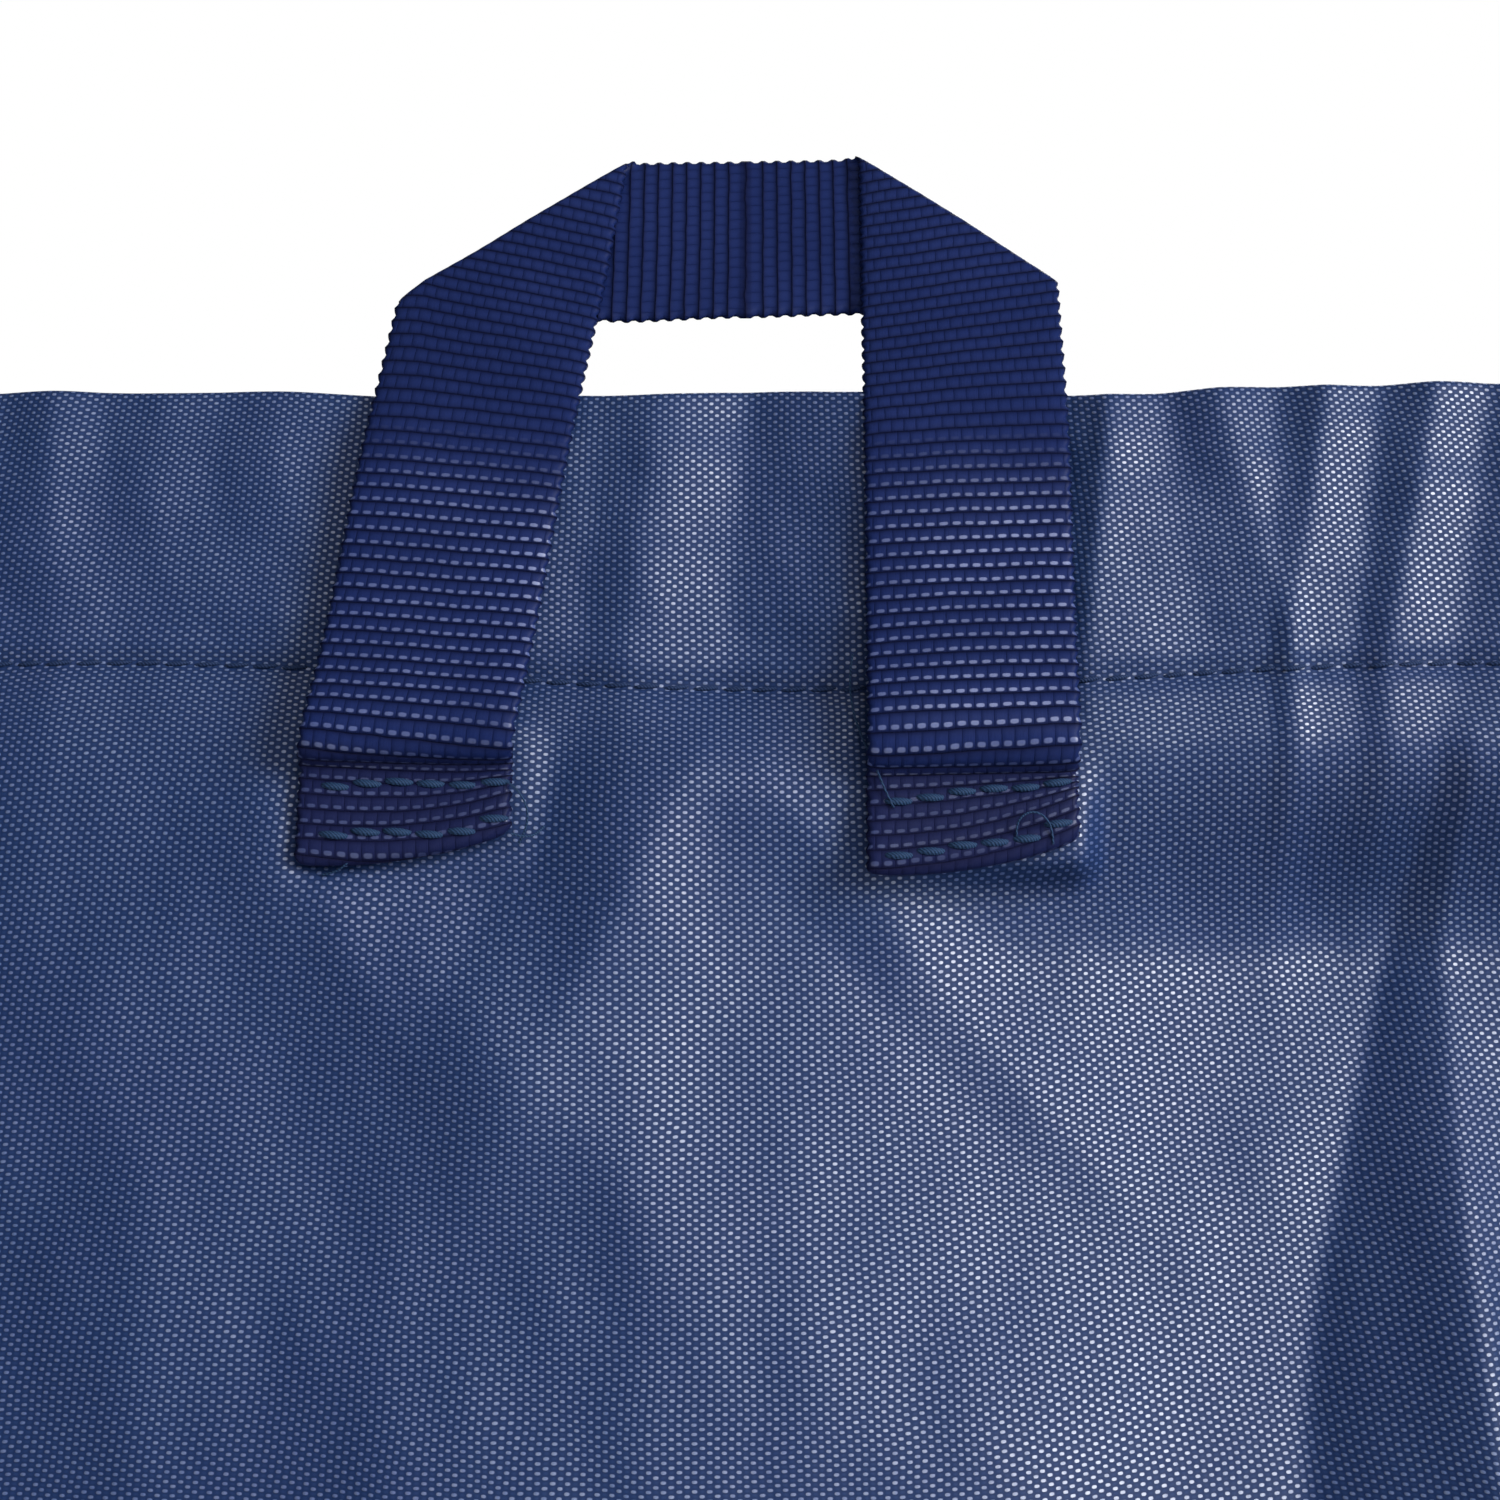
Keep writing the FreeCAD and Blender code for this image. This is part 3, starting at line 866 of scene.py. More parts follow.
# ---------------------------------------------------------------- cloth walls
@dataclass
class BagCloth:
    """The four walls, each one sheet from the base seam up, over the rim and down inside."""

    outline: Outline
    columns_long: int = 360
    columns_short: int = 214
    rim_radius: float = 0.75
    hem_swell: float = 2.6
    hem_draw: float = 1.9
    allowance: float = 8.0
    names: dict = field(default_factory=lambda: {
        Side.FRONT: "front_panel", Side.RIGHT: "right_gusset",
        Side.BACK: "back_panel", Side.LEFT: "left_gusset"})
    gathers: dict = field(init=False)

    def __post_init__(self) -> None:
        """Chooses the gathers of each wall."""
        self.gathers = {
            Side.FRONT: (scattered_gathers(-152.0, -84.0, 11) + FRONT_GATHERS
                         + scattered_gathers(110.0, 152.0, 12)),
            Side.RIGHT: scattered_gathers(-88.0, 88.0, 13),
            Side.BACK: scattered_gathers(-152.0, 152.0, 14),
            Side.LEFT: scattered_gathers(-88.0, 88.0, 15),
        }

    def flat_width(self, side: Side) -> float:
        """Width that the panel was cut to, between its seams, measured on the belly."""
        return float(2 * self.outline.half_length(side, np.array(180.0)))

    def stitch_height(self, side: Side, s: np.ndarray) -> np.ndarray:
        """Height of the hem stitching, which wanders a little along each wall.

        Args:
            side: Which wall.
            s: Place along the wall.

        Returns:
            The height; at the corner seams it is the same on both walls.
        """
        half = self.outline.half_length(side, np.array(HEM_LINE))
        edge = smooth(np.abs(s), half, 105.0 if side.long else 40.0)
        if side is Side.FRONT:
            wave = 0.7 + 1.6 * (1 - np.cos(2 * np.pi * (s - 12.0) / 165.0)) - STITCH_RISE
        else:
            wave = 0.9 * np.sin(s / 31.0 + 1.3) + 0.4 * np.sin(s / 9.0)
        return HEM_LINE + STITCH_RISE + wave * edge

    def rim_height(self, side: Side, s: np.ndarray) -> np.ndarray:
        """Height of the rim, uneven where the elastic draws the cloth in.

        Args:
            side: Which wall.
            s: Place along the wall.

        Returns:
            The height; at the corner seams it is the same on both walls.
        """
        half = self.outline.half_length(side, np.array(RIM))
        edge = smooth(np.abs(s), half, 100.0 if side.long else 40.0)
        lift = 0.25 * np.sin(s / 14.0 + 0.6) + 0.18 * np.sin(s / 5.3)
        if side is Side.FRONT:
            lift = lift + smooth(s, 40.0, 100.0) - 0.4
        return RIM - 0.5 + lift * edge

    def loop_seat(self, side: Side, s: np.ndarray, z: np.ndarray) -> np.ndarray:
        """Where a loop is sewn on or stands against the hem.

        Args:
            side: Which wall.
            s: Place along the wall.
            z: Height.

        Returns:
            1 on the seat, fading to 0 round it.
        """
        if not side.long:
            return np.zeros(np.broadcast(s, z).shape)
        way = 1.0 if side is Side.FRONT else -1.0
        lean = way * 2.6 * smooth(z, 360.0, RIM)
        near = np.abs(np.abs(s - lean) - FOOT_SPACING / 2) + 2.3 * smooth(z, SEWN_HIGH, SEWN_HIGH + 5.0)
        return smooth(near, 16.0, 12.0) * smooth(z, 339.0, 343.0)

    def front_folds(self, s: np.ndarray, z: np.ndarray) -> np.ndarray:
        """Folds of the front below the hem.

        A broad fall to the right, which a line that slants down from the hem bounds and the corner
        seam ends; a sharp upright crease with a flank that widens downwards; a slanting fold under
        the middle of the hem with a shorter one beside it; a long arched ridge with a streak above
        it; and the bulge of the belly.

        Args:
            s: Place along the wall.
            z: Height.

        Returns:
            Relief in millimetres.
        """
        held = 0.5 * (s + 95.0 - np.hypot(s - 95.0, 4.0))
        start = held + 12.0 - (361.0 - z) * 0.5
        back = np.clip((s - 90.0) / 76.0, 0.0, 1.0)
        ending = 1.0 - 0.5 * back * (1.0 + back * (3.0 - 2.0 * back))
        drop = 0.5 * (start + np.hypot(start, 22.4)) * ending
        fall = -0.27 * drop * smooth(z, 358.0, 328.0) * smooth(z, 120.0, 250.0)
        wide = 3.5 + 17.0 * smooth(z, 354.0, 262.0) * smooth(z, 70.0, 235.0)
        crease_x = 90.6 + 0.8 * np.sin(z / 17.0)
        crease = (0.80 * wide - 1.0) * tent(s - crease_x, wide, 20.0, 0.035) * smooth(z, 40.0, 130.0)
        slant = (z - 361.0) * 0.52
        middle = 3.5 * tent(s - 3.5 - slant, 14.0, 19.0) * smooth(z, 296.0, 338.0) * smooth(z, 372.0, 358.0)
        beside = 1.9 * tent(s + 46.0 - (343.0 - z) * 0.55, 13.0, 15.0) * np.exp(-((z - 333.0) / 15.0) ** 2)
        u, w = s + 30.4, z - 324.7
        down = (u * 0.59 + w * 0.81) + 4.0 * np.sin(np.clip(u, -20, 90) / 22.0)
        arch = 2.6 * tent(down, 18.0, 15.0, 0.25) * smooth(u, -22.0, 12.0) * smooth(u, 112.0, 50.0)
        streak = 1.3 * tent(s - 5.0 - (355.0 - z) * 0.88, 8.0, 11.0)
        streak = streak * smooth(z, 284.0, 318.0) * smooth(z, 357.0, 346.0)
        bulge = 6.5 * smooth(z, 320.0, 262.0) * smooth(z, 90.0, 200.0) * tent(s + 16.0, 46.0, 36.0, 0.25)
        return fall + (crease + middle + beside + arch + streak + bulge) * smooth(z, 364.0, 352.0)

    def plain_folds(self, side: Side, s: np.ndarray, z: np.ndarray) -> np.ndarray:
        """Folds of the other walls: creases from being packed flat, and slack slanting folds.

        Args:
            side: Which wall.
            s: Place along the wall.
            z: Height.

        Returns:
            Relief in millimetres.
        """
        seed = list(Side).index(side)
        body = smooth(z, 358.0, 325.0) * smooth(z, 20.0, 90.0)
        middle = -3.4 if not side.long else 2.6
        upright = middle * tent(s - 6.0 * (seed - 1), 17.0, 19.0, 0.05)
        second = 2.2 * tent(np.abs(s) - (92.0 if side.long else 58.0), 14.0, 12.0, 0.06)
        lean = s * 0.55 + (z - 250.0) + 9.0 * seed
        slack = 2.6 * tent(lean, 20.0, 16.0, 0.2) * smooth(np.abs(s), 95.0, 25.0)
        return (upright + second + slack) * body

    def relief(self, side: Side, s: np.ndarray, z: np.ndarray) -> np.ndarray:
        """Distance of the cloth outwards from the outline.

        The hem's gathers die out below the stitching, and the folds and the unevenness begin
        there. The stitching and the corner seams draw a groove, and the loops' seats are flat.

        Args:
            side: Which wall.
            s: Place along the wall.
            z: Height.

        Returns:
            Relief in millimetres.
        """
        half = self.outline.half_length(side, z)
        t = s / half
        seed = list(Side).index(side)
        stitch = self.stitch_height(side, s)
        above = z - stitch
        share = np.clip(above / (RIM - HEM_LINE - STITCH_RISE), 0.0, 1.0)
        fade = np.where(above > 0, 1.0, np.exp(above / 17.0))
        hem = (gather_relief(self.gathers[side], s, share) - self.hem_draw) * fade
        belly = smooth(z, 10.0, 150.0) * smooth(z, 330.0, 190.0)
        body = 6.0 * belly * (1 - t * t)
        folds = self.front_folds(s, z) if side is Side.FRONT else self.plain_folds(side, s, z)
        low = smooth(above, 2.0, -22.0)
        crumple = 0.30 * ripple(s, z, 81 + seed, 15.0, 0.9) * smooth(above, 0.5, 6.0)
        uneven = (ripple(s, z, 21 + seed, 90.0, 1.6) * 1.5 + ripple(s, z, 31 + seed, 34.0, 1.4) * 0.5
                  + ripple(s, z, 71 + seed, 17.0, 1.2) * 0.14) * low
        crush = 1.6 * ripple(s, z, 41 + seed, 60.0, 0.5) * smooth(z, 60.0, 8.0)
        total = hem + body + folds * smooth(np.abs(t), 0.99, 0.86) + uneven + crumple + crush
        groove = -0.85 * np.exp(-(above / 1.3) ** 2)
        seam = -2.0 * np.exp(-((half - np.abs(s)) / 2.6) ** 2)
        seat = self.loop_seat(side, s, z)
        flat = np.where(z < SEWN_HIGH + 3.0, -0.25, np.minimum(total, -0.9))
        return total * (1 - seat) + flat * seat + groove + seam

    def sheet_rows(self) -> tuple[np.ndarray, np.ndarray, np.ndarray, np.ndarray]:
        """Rows of a wall's sheet, from the base seam to the edge inside the hem.

        Returns:
            For each row: 0 to 1 from the floor to the stitching, 0 to 1 from there to the rim,
            how far inside the outer face it lies, and how far above the rim's base.
        """
        foot = np.array([0.0, 0.0, 0.002, 0.006, 0.013, 0.022])
        up = 0.03 + 0.97 * (1 - (1 - np.linspace(0, 1, 176)) ** 1.25)
        hem = np.linspace(0, 1, 42)[1:]
        turn = np.linspace(0, np.pi, 9)[1:-1]
        down = np.linspace(1, -0.05, 26)
        body = np.concatenate([foot, up, np.ones(len(hem) + len(turn) + len(down))])
        top = np.concatenate([np.zeros(len(foot) + len(up)), hem, np.ones(len(turn)), down])
        inside = np.concatenate([[2.6, 1.4, 0.55, 0.15, 0.0, 0.0], np.zeros(len(up) + len(hem)),
                                 (1 - np.cos(turn)) / 2, np.ones(len(down))])
        over = np.concatenate([np.zeros(len(foot) + len(up) + len(hem)), np.sin(turn),
                               np.zeros(len(down))])
        return body, top, inside, over

    def wall(self, side: Side, draft: Draft) -> None:
        """Adds one wall's sheet, with its seam allowances turned in at both edges.

        Each row lies at its share of the way up to the stitching and to the rim, and as far out as
        the relief, plus the hem's swell, less how far inside the outer face the row lies. The
        seam allowances go from the corner inwards at 45 degrees, a little apart.

        Args:
            side: Which wall.
            draft: Where to put it.
        """
        body, top, inside, over = (row[:, None] for row in self.sheet_rows())
        count = self.columns_long if side.long else self.columns_short
        t = np.linspace(-1, 1, count)[None, :]
        s = t * self.outline.half_length(side, np.array(300.0))
        low = 0.6 + 0.5 * np.sin(s / 23.0)
        z = low + (self.stitch_height(side, s) - low) * body
        z = z + (self.rim_height(side, s) - self.rim_radius - self.stitch_height(side, s)) * top
        z = z + self.rim_radius * over
        s = t * self.outline.half_length(side, z)
        swell = np.sin(np.pi * np.clip(top, 0, 1)) ** 0.8
        thickness = 2 * self.rim_radius + self.hem_swell * swell
        hem_row = top > 0
        face = np.where(hem_row | (inside > 0.99), 0.35 * self.hem_swell * swell, 0.0)
        inset = np.where(hem_row | (inside == 1.0), inside * thickness, inside)
        out = self.relief(side, s, np.minimum(z, RIM)) + face - inset
        points = self.outline.point(side, s, z, out)
        edge = np.array([1.0, 0.55, 0.15])
        reach = np.where(z[:, :1] < HEM_LINE - 6.0, self.allowance, 1.2) * smooth(z[:, :1], 0.5, 14.0)
        (ax, ay), (ox, oy) = side.value
        for first, sign in ((True, -1.0), (False, 1.0)):
            corner = points[:, :1] if first else points[:, -1:]
            inwards = np.array([-sign * ax - ox, -sign * ay - oy, 0.0]) / math.sqrt(2)
            gap = np.array([-sign * ax + ox, -sign * ay + oy, 0.0]) / math.sqrt(2) * 0.35
            shares = edge if first else edge[::-1]
            extra = corner + (reach * shares)[..., None] * inwards + gap * np.minimum(1, reach)[..., None]
            points = np.concatenate([extra, points] if first else [points, extra], 1)
        u = t * self.flat_width(side) / 2 + np.zeros_like(z)
        u = np.concatenate([u[:, :1] - edge * self.allowance, u, u[:, -1:] + edge[::-1] * self.allowance], 1)
        middle = points[:, points.shape[1] // 2]
        v = np.concatenate([[0.0], np.cumsum(np.linalg.norm(np.diff(middle, axis=0), axis=1))])
        places = np.stack([u, np.broadcast_to(v[:, None], u.shape)], -1)
        draft.grid(points, places)

    def build(self, material: bpy.types.Material) -> None:
        """Makes the four walls.

        Args:
            material: Finish of the cloth.
        """
        for side, name in self.names.items():
            draft = Draft()
            self.wall(side, draft)
            piece = draft.build(name + "_cloth", material)
            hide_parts(name)
            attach(piece, "bag")
            width = self.flat_width(side) + 2 * self.allowance
            LOG.info("%s: %d points", name, draft.total)

    def on_face(self, side: Side, s: np.ndarray, z: np.ndarray, off: float) -> np.ndarray:
        """Place a given distance off the cloth's outer face."""
        return self.outline.point(side, s, z, self.relief(side, s, z) + off)


@dataclass
class BagBottom:
    """The base panel with its bound seam, and the bound corner seams, seen inside the bag."""

    outline: Outline
    tape_depth: float = 9.0
    tape_half: float = 1.1
    corner_inset: float = 3.2
    base_inset: float = 2.9
    base_level: float = 6.0
    stitch: Stitch = Stitch(3.2, 2.6, 0.2, 0.22)

    def base(self, material: bpy.types.Material) -> None:
        """Makes the base: rings of the outline at the floor, shrinking to the middle.

        Each ring is the outline scaled by its share, and the cloth rises and falls under a
        millimetre.

        Args:
            material: Finish of the cloth.
        """
        draft = Draft()
        share = np.linspace(0.0, 1.0, 46)[:, None]
        for side in Side:
            half = float(self.outline.half_length(side, np.array(0.0)))
            s = np.linspace(-half, half, 120 if side.long else 70)[None, :]
            rim = self.outline.point(side, s, np.zeros_like(s), np.full_like(s, -1.0))
            flat = rim * share[..., None]
            wave = 0.45 + 0.35 * ripple(flat[..., 0], flat[..., 1], 51, 80.0)
            flat[..., 2] = np.clip(wave, 0.02, 0.95) * smooth(share, 1.0, 0.9) + 0.02
            draft.grid(flat, flat[..., :2])
        piece = draft.build("base_panel_cloth", material, merge=True)
        turn_outwards(piece)
        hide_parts("base_panel")
        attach(piece, "bag")
        LOG.info("base_panel: %d points", draft.total)

    def tape_section(self) -> tuple[np.ndarray, np.ndarray]:
        """Section of folded tape: a flat oval, |d / a|^4 + |w / b|^4 = 1.

        Returns:
            Depth and width of each point round it.
        """
        turn = round_places(16)
        depth = np.sign(np.cos(turn)) * np.abs(np.cos(turn)) ** 0.5
        width = np.sign(np.sin(turn)) * np.abs(np.sin(turn)) ** 0.5
        return self.tape_depth / 2 * depth, self.tape_half * width

    def corner_seams(self, material: bpy.types.Material, thread: bpy.types.Material) -> None:
        """Makes the four bound corner seams and the thread down both faces of each.

        Args:
            material: Finish of the tape.
            thread: Finish of the thread.
        """
        stitches = Draft()
        for across, sx in (("left", -1), ("right", 1)):
            for along, sy in (("front", -1), ("back", 1)):
                self.corner_seam(f"{along}_{across}_seam_binding", sx, sy, material, stitches)
        piece = stitches.build("side_seam_threads", thread)
        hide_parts("side_seam_stitching")
        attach(piece, "bag")
        LOG.info("corner seams done")

    def corner_seam(self, name: str, sx: int, sy: int, material: bpy.types.Material,
                    stitches: Draft) -> None:
        """Makes one bound corner seam: the tape's section carried up the corner, swaying a little.

        Args:
            name: Its node.
            sx: -1 on the left, 1 on the right.
            sy: -1 at the front, 1 at the back.
            material: Finish of the tape.
            stitches: Where to put its stitches.
        """
        low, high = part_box(name)
        z = np.arange(low[2] / MM + 0.4, high[2] / MM - 0.4, 2.0)
        side = Side.FRONT if sy < 0 else Side.BACK
        s = self.outline.half_length(side, z) * (sx if side is Side.FRONT else -sx)
        corner = self.outline.point(side, s, z, np.full_like(z, -self.corner_inset))
        way = np.array([-sx, -sy, 0.0]) / math.sqrt(2)
        off = np.array([-sy, sx, 0.0]) / math.sqrt(2)
        sway = (0.35 * np.sin(z / 19.0 + sx + 2 * sy) + 0.2 * np.sin(z / 6.1))[:, None]
        line = corner + way * (self.tape_depth / 2) + off * sway
        depth, width = self.tape_section()
        ring = line[:, None] + depth[None, :, None] * way + width[None, :, None] * off
        draft = Draft()
        draft.grid(ring, np.stack(np.broadcast_arrays(z[:, None], depth[None, :] + 5), -1), wrap=True)
        draft.ends(len(depth))
        piece = draft.build(name + "_tape", material)
        turn_outwards(piece)
        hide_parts(name)
        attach(piece, "bag")
        at = np.arange(z[0] + 3.0, z[-1] - 3.0, self.stitch.pitch)
        spot = np.stack([np.interp(at, z, line[:, k]) for k in range(3)], -1) + way * 1.5
        ahead = np.tile(np.array([0.0, 0.0, 1.0]), (len(at), 1))
        for face in (-1.0, 1.0):
            out = np.tile(off * face, (len(at), 1))
            stitches.islands(self.stitch.lay(spot + out * (self.tape_half - 0.05), ahead, out))

    def base_seam(self, material: bpy.types.Material, thread: bpy.types.Material) -> None:
        """Makes the bound base seam, turned up inside the foot of the walls, and its thread.

        Args:
            material: Finish of the tape.
            thread: Finish of the thread.
        """
        draft = Draft()
        stitches = Draft()
        depth, width = self.tape_section()
        for side in Side:
            half = float(self.outline.half_length(side, np.array(self.base_level)))
            s = np.linspace(-half, half, 190 if side.long else 110)[:, None]
            height = self.base_level + depth[None, :] + 0.25 * np.sin(s / 13.0)
            inset = -self.base_inset + width[None, :] - 0.3 * (1 + np.sin(s / 21.0))
            places = np.stack(np.broadcast_arrays(s, depth[None, :] + 5), -1)
            draft.grid(self.outline.point(side, s, height, inset), places, wrap=True)
            at = np.arange(-half + 2.0, half - 2.0, self.stitch.pitch)
            level = np.full_like(at, self.base_level + 1.3)
            off = -self.base_inset - self.tape_half - 0.3 * (1 + np.sin(at / 21.0))
            spot = self.outline.point(side, at, level, off)
            ahead = unit(self.outline.point(side, at + 0.5, level, off) - spot)
            inward = np.cross(np.array([0.0, 0.0, 1.0]), ahead)
            stitches.islands(self.stitch.lay(spot, ahead, inward))
        piece = draft.build("base_seam_tape", material, merge=True)
        turn_outwards(piece)
        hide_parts("base_seam_binding")
        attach(piece, "bag")
        piece = stitches.build("base_seam_threads", thread)
        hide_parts("base_seam_stitching")
        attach(piece, "bag")
        LOG.info("base seam done")


@dataclass
class Mouth:
    """What draws in and closes the hem: the elastic in its tunnel, and the hem stitching."""

    cloth: BagCloth
    elastic_low: float = 367.6
    elastic_high: float = 396.0
    elastic_half: float = 0.5
    stitch: Stitch = Stitch(3.5, 3.05, 0.30, 0.12)

    def elastic(self, material: bpy.types.Material) -> None:
        """Makes the flat band between the two layers of the hem, gathered with them.

        Args:
            material: Finish of the elastic.
        """
        draft = Draft()
        turn = round_places(28)
        z = self.elastic_low + (self.elastic_high - self.elastic_low) * (0.5 + 0.5 * np.cos(turn)[None, :])
        for side in Side:
            half = self.cloth.outline.half_length(side, z)
            s = np.linspace(-1, 1, 240 if side.long else 140)[:, None] * half
            share = (z - HEM_LINE) / (RIM - HEM_LINE)
            middle = -self.cloth.rim_radius - 0.15 * self.cloth.hem_swell * np.sin(np.pi * share) ** 0.8
            wide = self.elastic_half * np.sign(np.sin(turn)) * np.abs(np.sin(turn)) ** 0.4
            out = self.cloth.relief(side, s, np.maximum(z, self.elastic_low - 1.1)) + middle + wide[None, :]
            places = np.stack(np.broadcast_arrays(s, z), -1)
            draft.grid(self.cloth.outline.point(side, s, z, out), places, wrap=True)
        piece = draft.build("mouth_elastic_band", material, merge=True)
        turn_outwards(piece)
        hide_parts("mouth_elastic")
        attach(piece, "bag")
        level = np.array((HEM_LINE + RIM) / 2)
        length = 2 * sum(float(self.cloth.outline.half_length(side, level)) for side in Side)
        LOG.info("elastic: %d points", draft.total)

    def stitching(self, material: bpy.types.Material) -> None:
        """Makes the row of stitches round the hem, outside and inside.

        Args:
            material: Finish of the thread.
        """
        draft = Draft()
        step = 0.8
        for side in Side:
            half = float(self.cloth.outline.half_length(side, np.array(HEM_LINE)))
            at = np.arange(-half + 1.5, half - 1.0, self.stitch.pitch)
            z, next_z = (self.cloth.stitch_height(side, place) for place in (at, at + step))
            for off, way in ((0.12, 1.0), (-2 * self.cloth.rim_radius - 0.1, -1.0)):
                spot = self.cloth.on_face(side, at, z, off)
                ahead = unit(self.cloth.on_face(side, at + step, next_z, off) - spot)
                out = unit(np.cross(ahead, np.array([0.0, 0.0, way])))
                tilt = ahead + np.array([0.0, 0.0, 0.10])
                draft.islands(self.stitch.lay(spot, tilt, out))
        piece = draft.build("hem_threads", material)
        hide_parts("hem_stitching")
        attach(piece, "bag")
        LOG.info("hem stitching: %d points", draft.total)


# ---------------------------------------------------------------- webbing loops
class Pose(Enum):
    """How a loop is held: standing up over the mouth, or hanging down outside."""

    STANDING = "standing"
    HANGING = "hanging"


@dataclass
class WebbingLoop:
    """One length of webbing: sewn down at both ends, with two slanting folds and a cross part.

    The loop is first drawn flat, x across the bag and y up from the top of the sewn ends. Then it
    is bent along a side view, given as distance out from the bag's middle and height.
    """

    outline: Outline
    pose: Pose
    side: Side
    name: str
    width: float = 24.5
    thickness: float = 1.3
    fold_radius: float = 0.95
    left_top: float = -21.8
    right_top: float = 33.0
    tail: float = 9.0
    tilt: float = 0.04
    bow: float = 1.8
    corner_lift: float = 4.0
    row_pitch: float = 1.80
    rib_height: float = 0.09
    tooth: float = 0.22
    cross_height: float = 410.3
    hanging_cross: float = 59.0
    stitch: Stitch = Stitch(3.7, 3.5, 0.52, 0.20)
    block: float = field(init=False)
    curve: np.ndarray = field(init=False)
    length: np.ndarray = field(init=False)
    way_out: np.ndarray = field(init=False)
    cross_low: float = field(init=False)

    def __post_init__(self) -> None:
        """Measures the side view: lengths along it from the top of the sewn end, and ways out."""
        self.block = SEWN_HIGH - SEWN_LOW
        self.curve = self.side_view()
        length = np.concatenate([[0.0], np.cumsum(np.linalg.norm(np.diff(self.curve, axis=0), axis=1))])
        sewn = len(length) // 5 * 2
        lowest = int(np.argmin(self.curve[:sewn, 1]))
        self.length = length - length[lowest] - self.block
        way = unit(np.gradient(self.curve, axis=0))
        self.way_out = np.stack([way[:, 1], -way[:, 0]], -1)
        self.cross_low = self.hanging_cross
        if self.pose is Pose.STANDING:
            above = self.curve[:, 1] > 380.0
            self.cross_low = float(np.interp(self.cross_height, self.curve[above, 1], self.length[above]))

    def cloth_out(self, z: float) -> float:
        """Distance of the bag's outline out from the bag's middle, at a height of this wall."""
        return float(self.outline.sizes(self.side, np.array(z))[1])

    def side_view(self) -> np.ndarray:
        """Side view from the turned-under end, down, round, up the sewn end and along the loop.

        A B-spline through listed points: each is a level of the cloth, the distance off it, and
        the point's height. Above the rim they are distances out from the bag's middle.

        Returns:
            Points as distance out and height, close together.
        """
        sewn = [(355.0, 0.62, 355.0), (350.0, 0.62, 350.0), (345.6, 0.62, 345.6), (343.8, 0.7, 343.6),
                (343.3, 2.2, 343.3), (344.6, 2.6, 344.9), (347.4, 1.9, 347.4), (350.4, 2.25, 350.4),
                (353.4, 1.75, 353.4)]
        if self.pose is Pose.STANDING:
            free = [(355.6, 2.2, 355.4), (356.0, 5.6, 355.6), (358.6, 6.6, 358.6), (364.0, 5.0, 364.0),
                    (372.0, 3.8, 372.0), (382.0, 3.4, 382.0), (391.0, 3.2, 391.0)]
            over_rim = [(89.4, 398.4), (85.4, 404.6), (80.9, 411.8), (76.4, 420.0), (72.0, 428.4),
                        (67.8, 437.0)]
        else:
            free = [(355.6, 2.2, 355.6), (357.6, 2.2, 358.4), (357.6, 4.4, 360.6), (357.6, 7.0, 360.0),
                    (355.0, 7.8, 356.2), (350.0, 7.6, 350.0), (335.0, 6.6, 335.0), (320.0, 6.3, 320.0),
                    (305.0, 6.4, 305.0), (295.0, 6.6, 295.0), (280.0, 7.2, 280.0), (270.0, 7.6, 270.0)]
            over_rim = []
        off_cloth = [(self.cloth_out(level) + off, z) for level, off, z in sewn + free]
        return spline(off_cloth + over_rim, 2400)

    @property
    def flat_length(self) -> float:
        """Length of the webbing: cross part, legs, sewn ends, and what is turned under."""
        half_loop = (self.right_top - self.left_top) / 2 + self.cross_low + self.width / 2
        return 2 * (half_loop + self.block + self.tail + 1.0)

    def drawn_flat(self, run: np.ndarray, across: np.ndarray) -> tuple[np.ndarray, ...]:
        """Place of the strip's points on the flat drawing.

        The cross part lies level. Past a fold line the strip is turned over: with q the distance
        from the line, it goes back as -|q|, and within the bend, of radius r, as
        -r + r cos(q / r), while the layer rises by r (1 + sin(q / r)).

        Args:
            run: Length along the strip from the middle of the cross part.
            across: Place across the strip.

        Returns:
            x, y and the layer's distance outwards.
        """
        r = self.fold_radius
        middle = (self.left_top + self.right_top) / 2
        level = self.cross_low + self.width / 2
        x = middle + run
        y = level + across + self.tilt * run
        layer = np.full_like(x, -2 * r)
        for sign, top in ((-1.0, self.left_top), (1.0, self.right_top)):
            bow = self.bow if sign < 0 else 0.0
            foot = sign * FOOT_SPACING / 2 + bow
            leg = math.atan2(-level, foot - top)
            line = (leg + self.tilt + (math.pi if sign < 0 else 0.0)) / 2
            along = np.array([math.cos(line), math.sin(line)])
            normal = np.array([along[1], -along[0]])
            normal = normal * (sign if normal[0] > 0 else -sign)
            here = (run * sign) > 0
            dx, dy = x - top, y - level
            q = dx * normal[0] + dy * normal[1]
            t = dx * along[0] + dy * along[1]
            bend = np.clip(q / r, -np.pi / 2, np.pi / 2)
            back = np.where(np.abs(q) > np.pi * r / 2, -np.abs(q) + (np.pi / 2 - 1) * r,
                            -r + r * np.cos(bend))
            rise = r * (1 + np.sin(bend)) - 2 * r
            nx = top + t * along[0] + back * normal[0]
            ny = level + t * along[1] + back * normal[1]
            x, y = np.where(here, nx, x), np.where(here, ny, y)
            layer = np.where(here, rise, layer)
            lean = (top - foot) / level
            straight = -lean * np.minimum(0.0, y - 2.0) - lean * 2.0 * smooth(y, 14.0, 0.0)
            bowed = -bow * smooth(y, level + 4.0, -level * 0.3)
            x = np.where(here, x + straight + bowed, x)
        corner = np.clip((np.abs(x - middle) - 15.0) / 25.0, 0.0, 1.0) ** 1.3
        y = y + self.corner_lift * corner * smooth(y, level - 38.0, level - 11.0)
        return x, y, layer

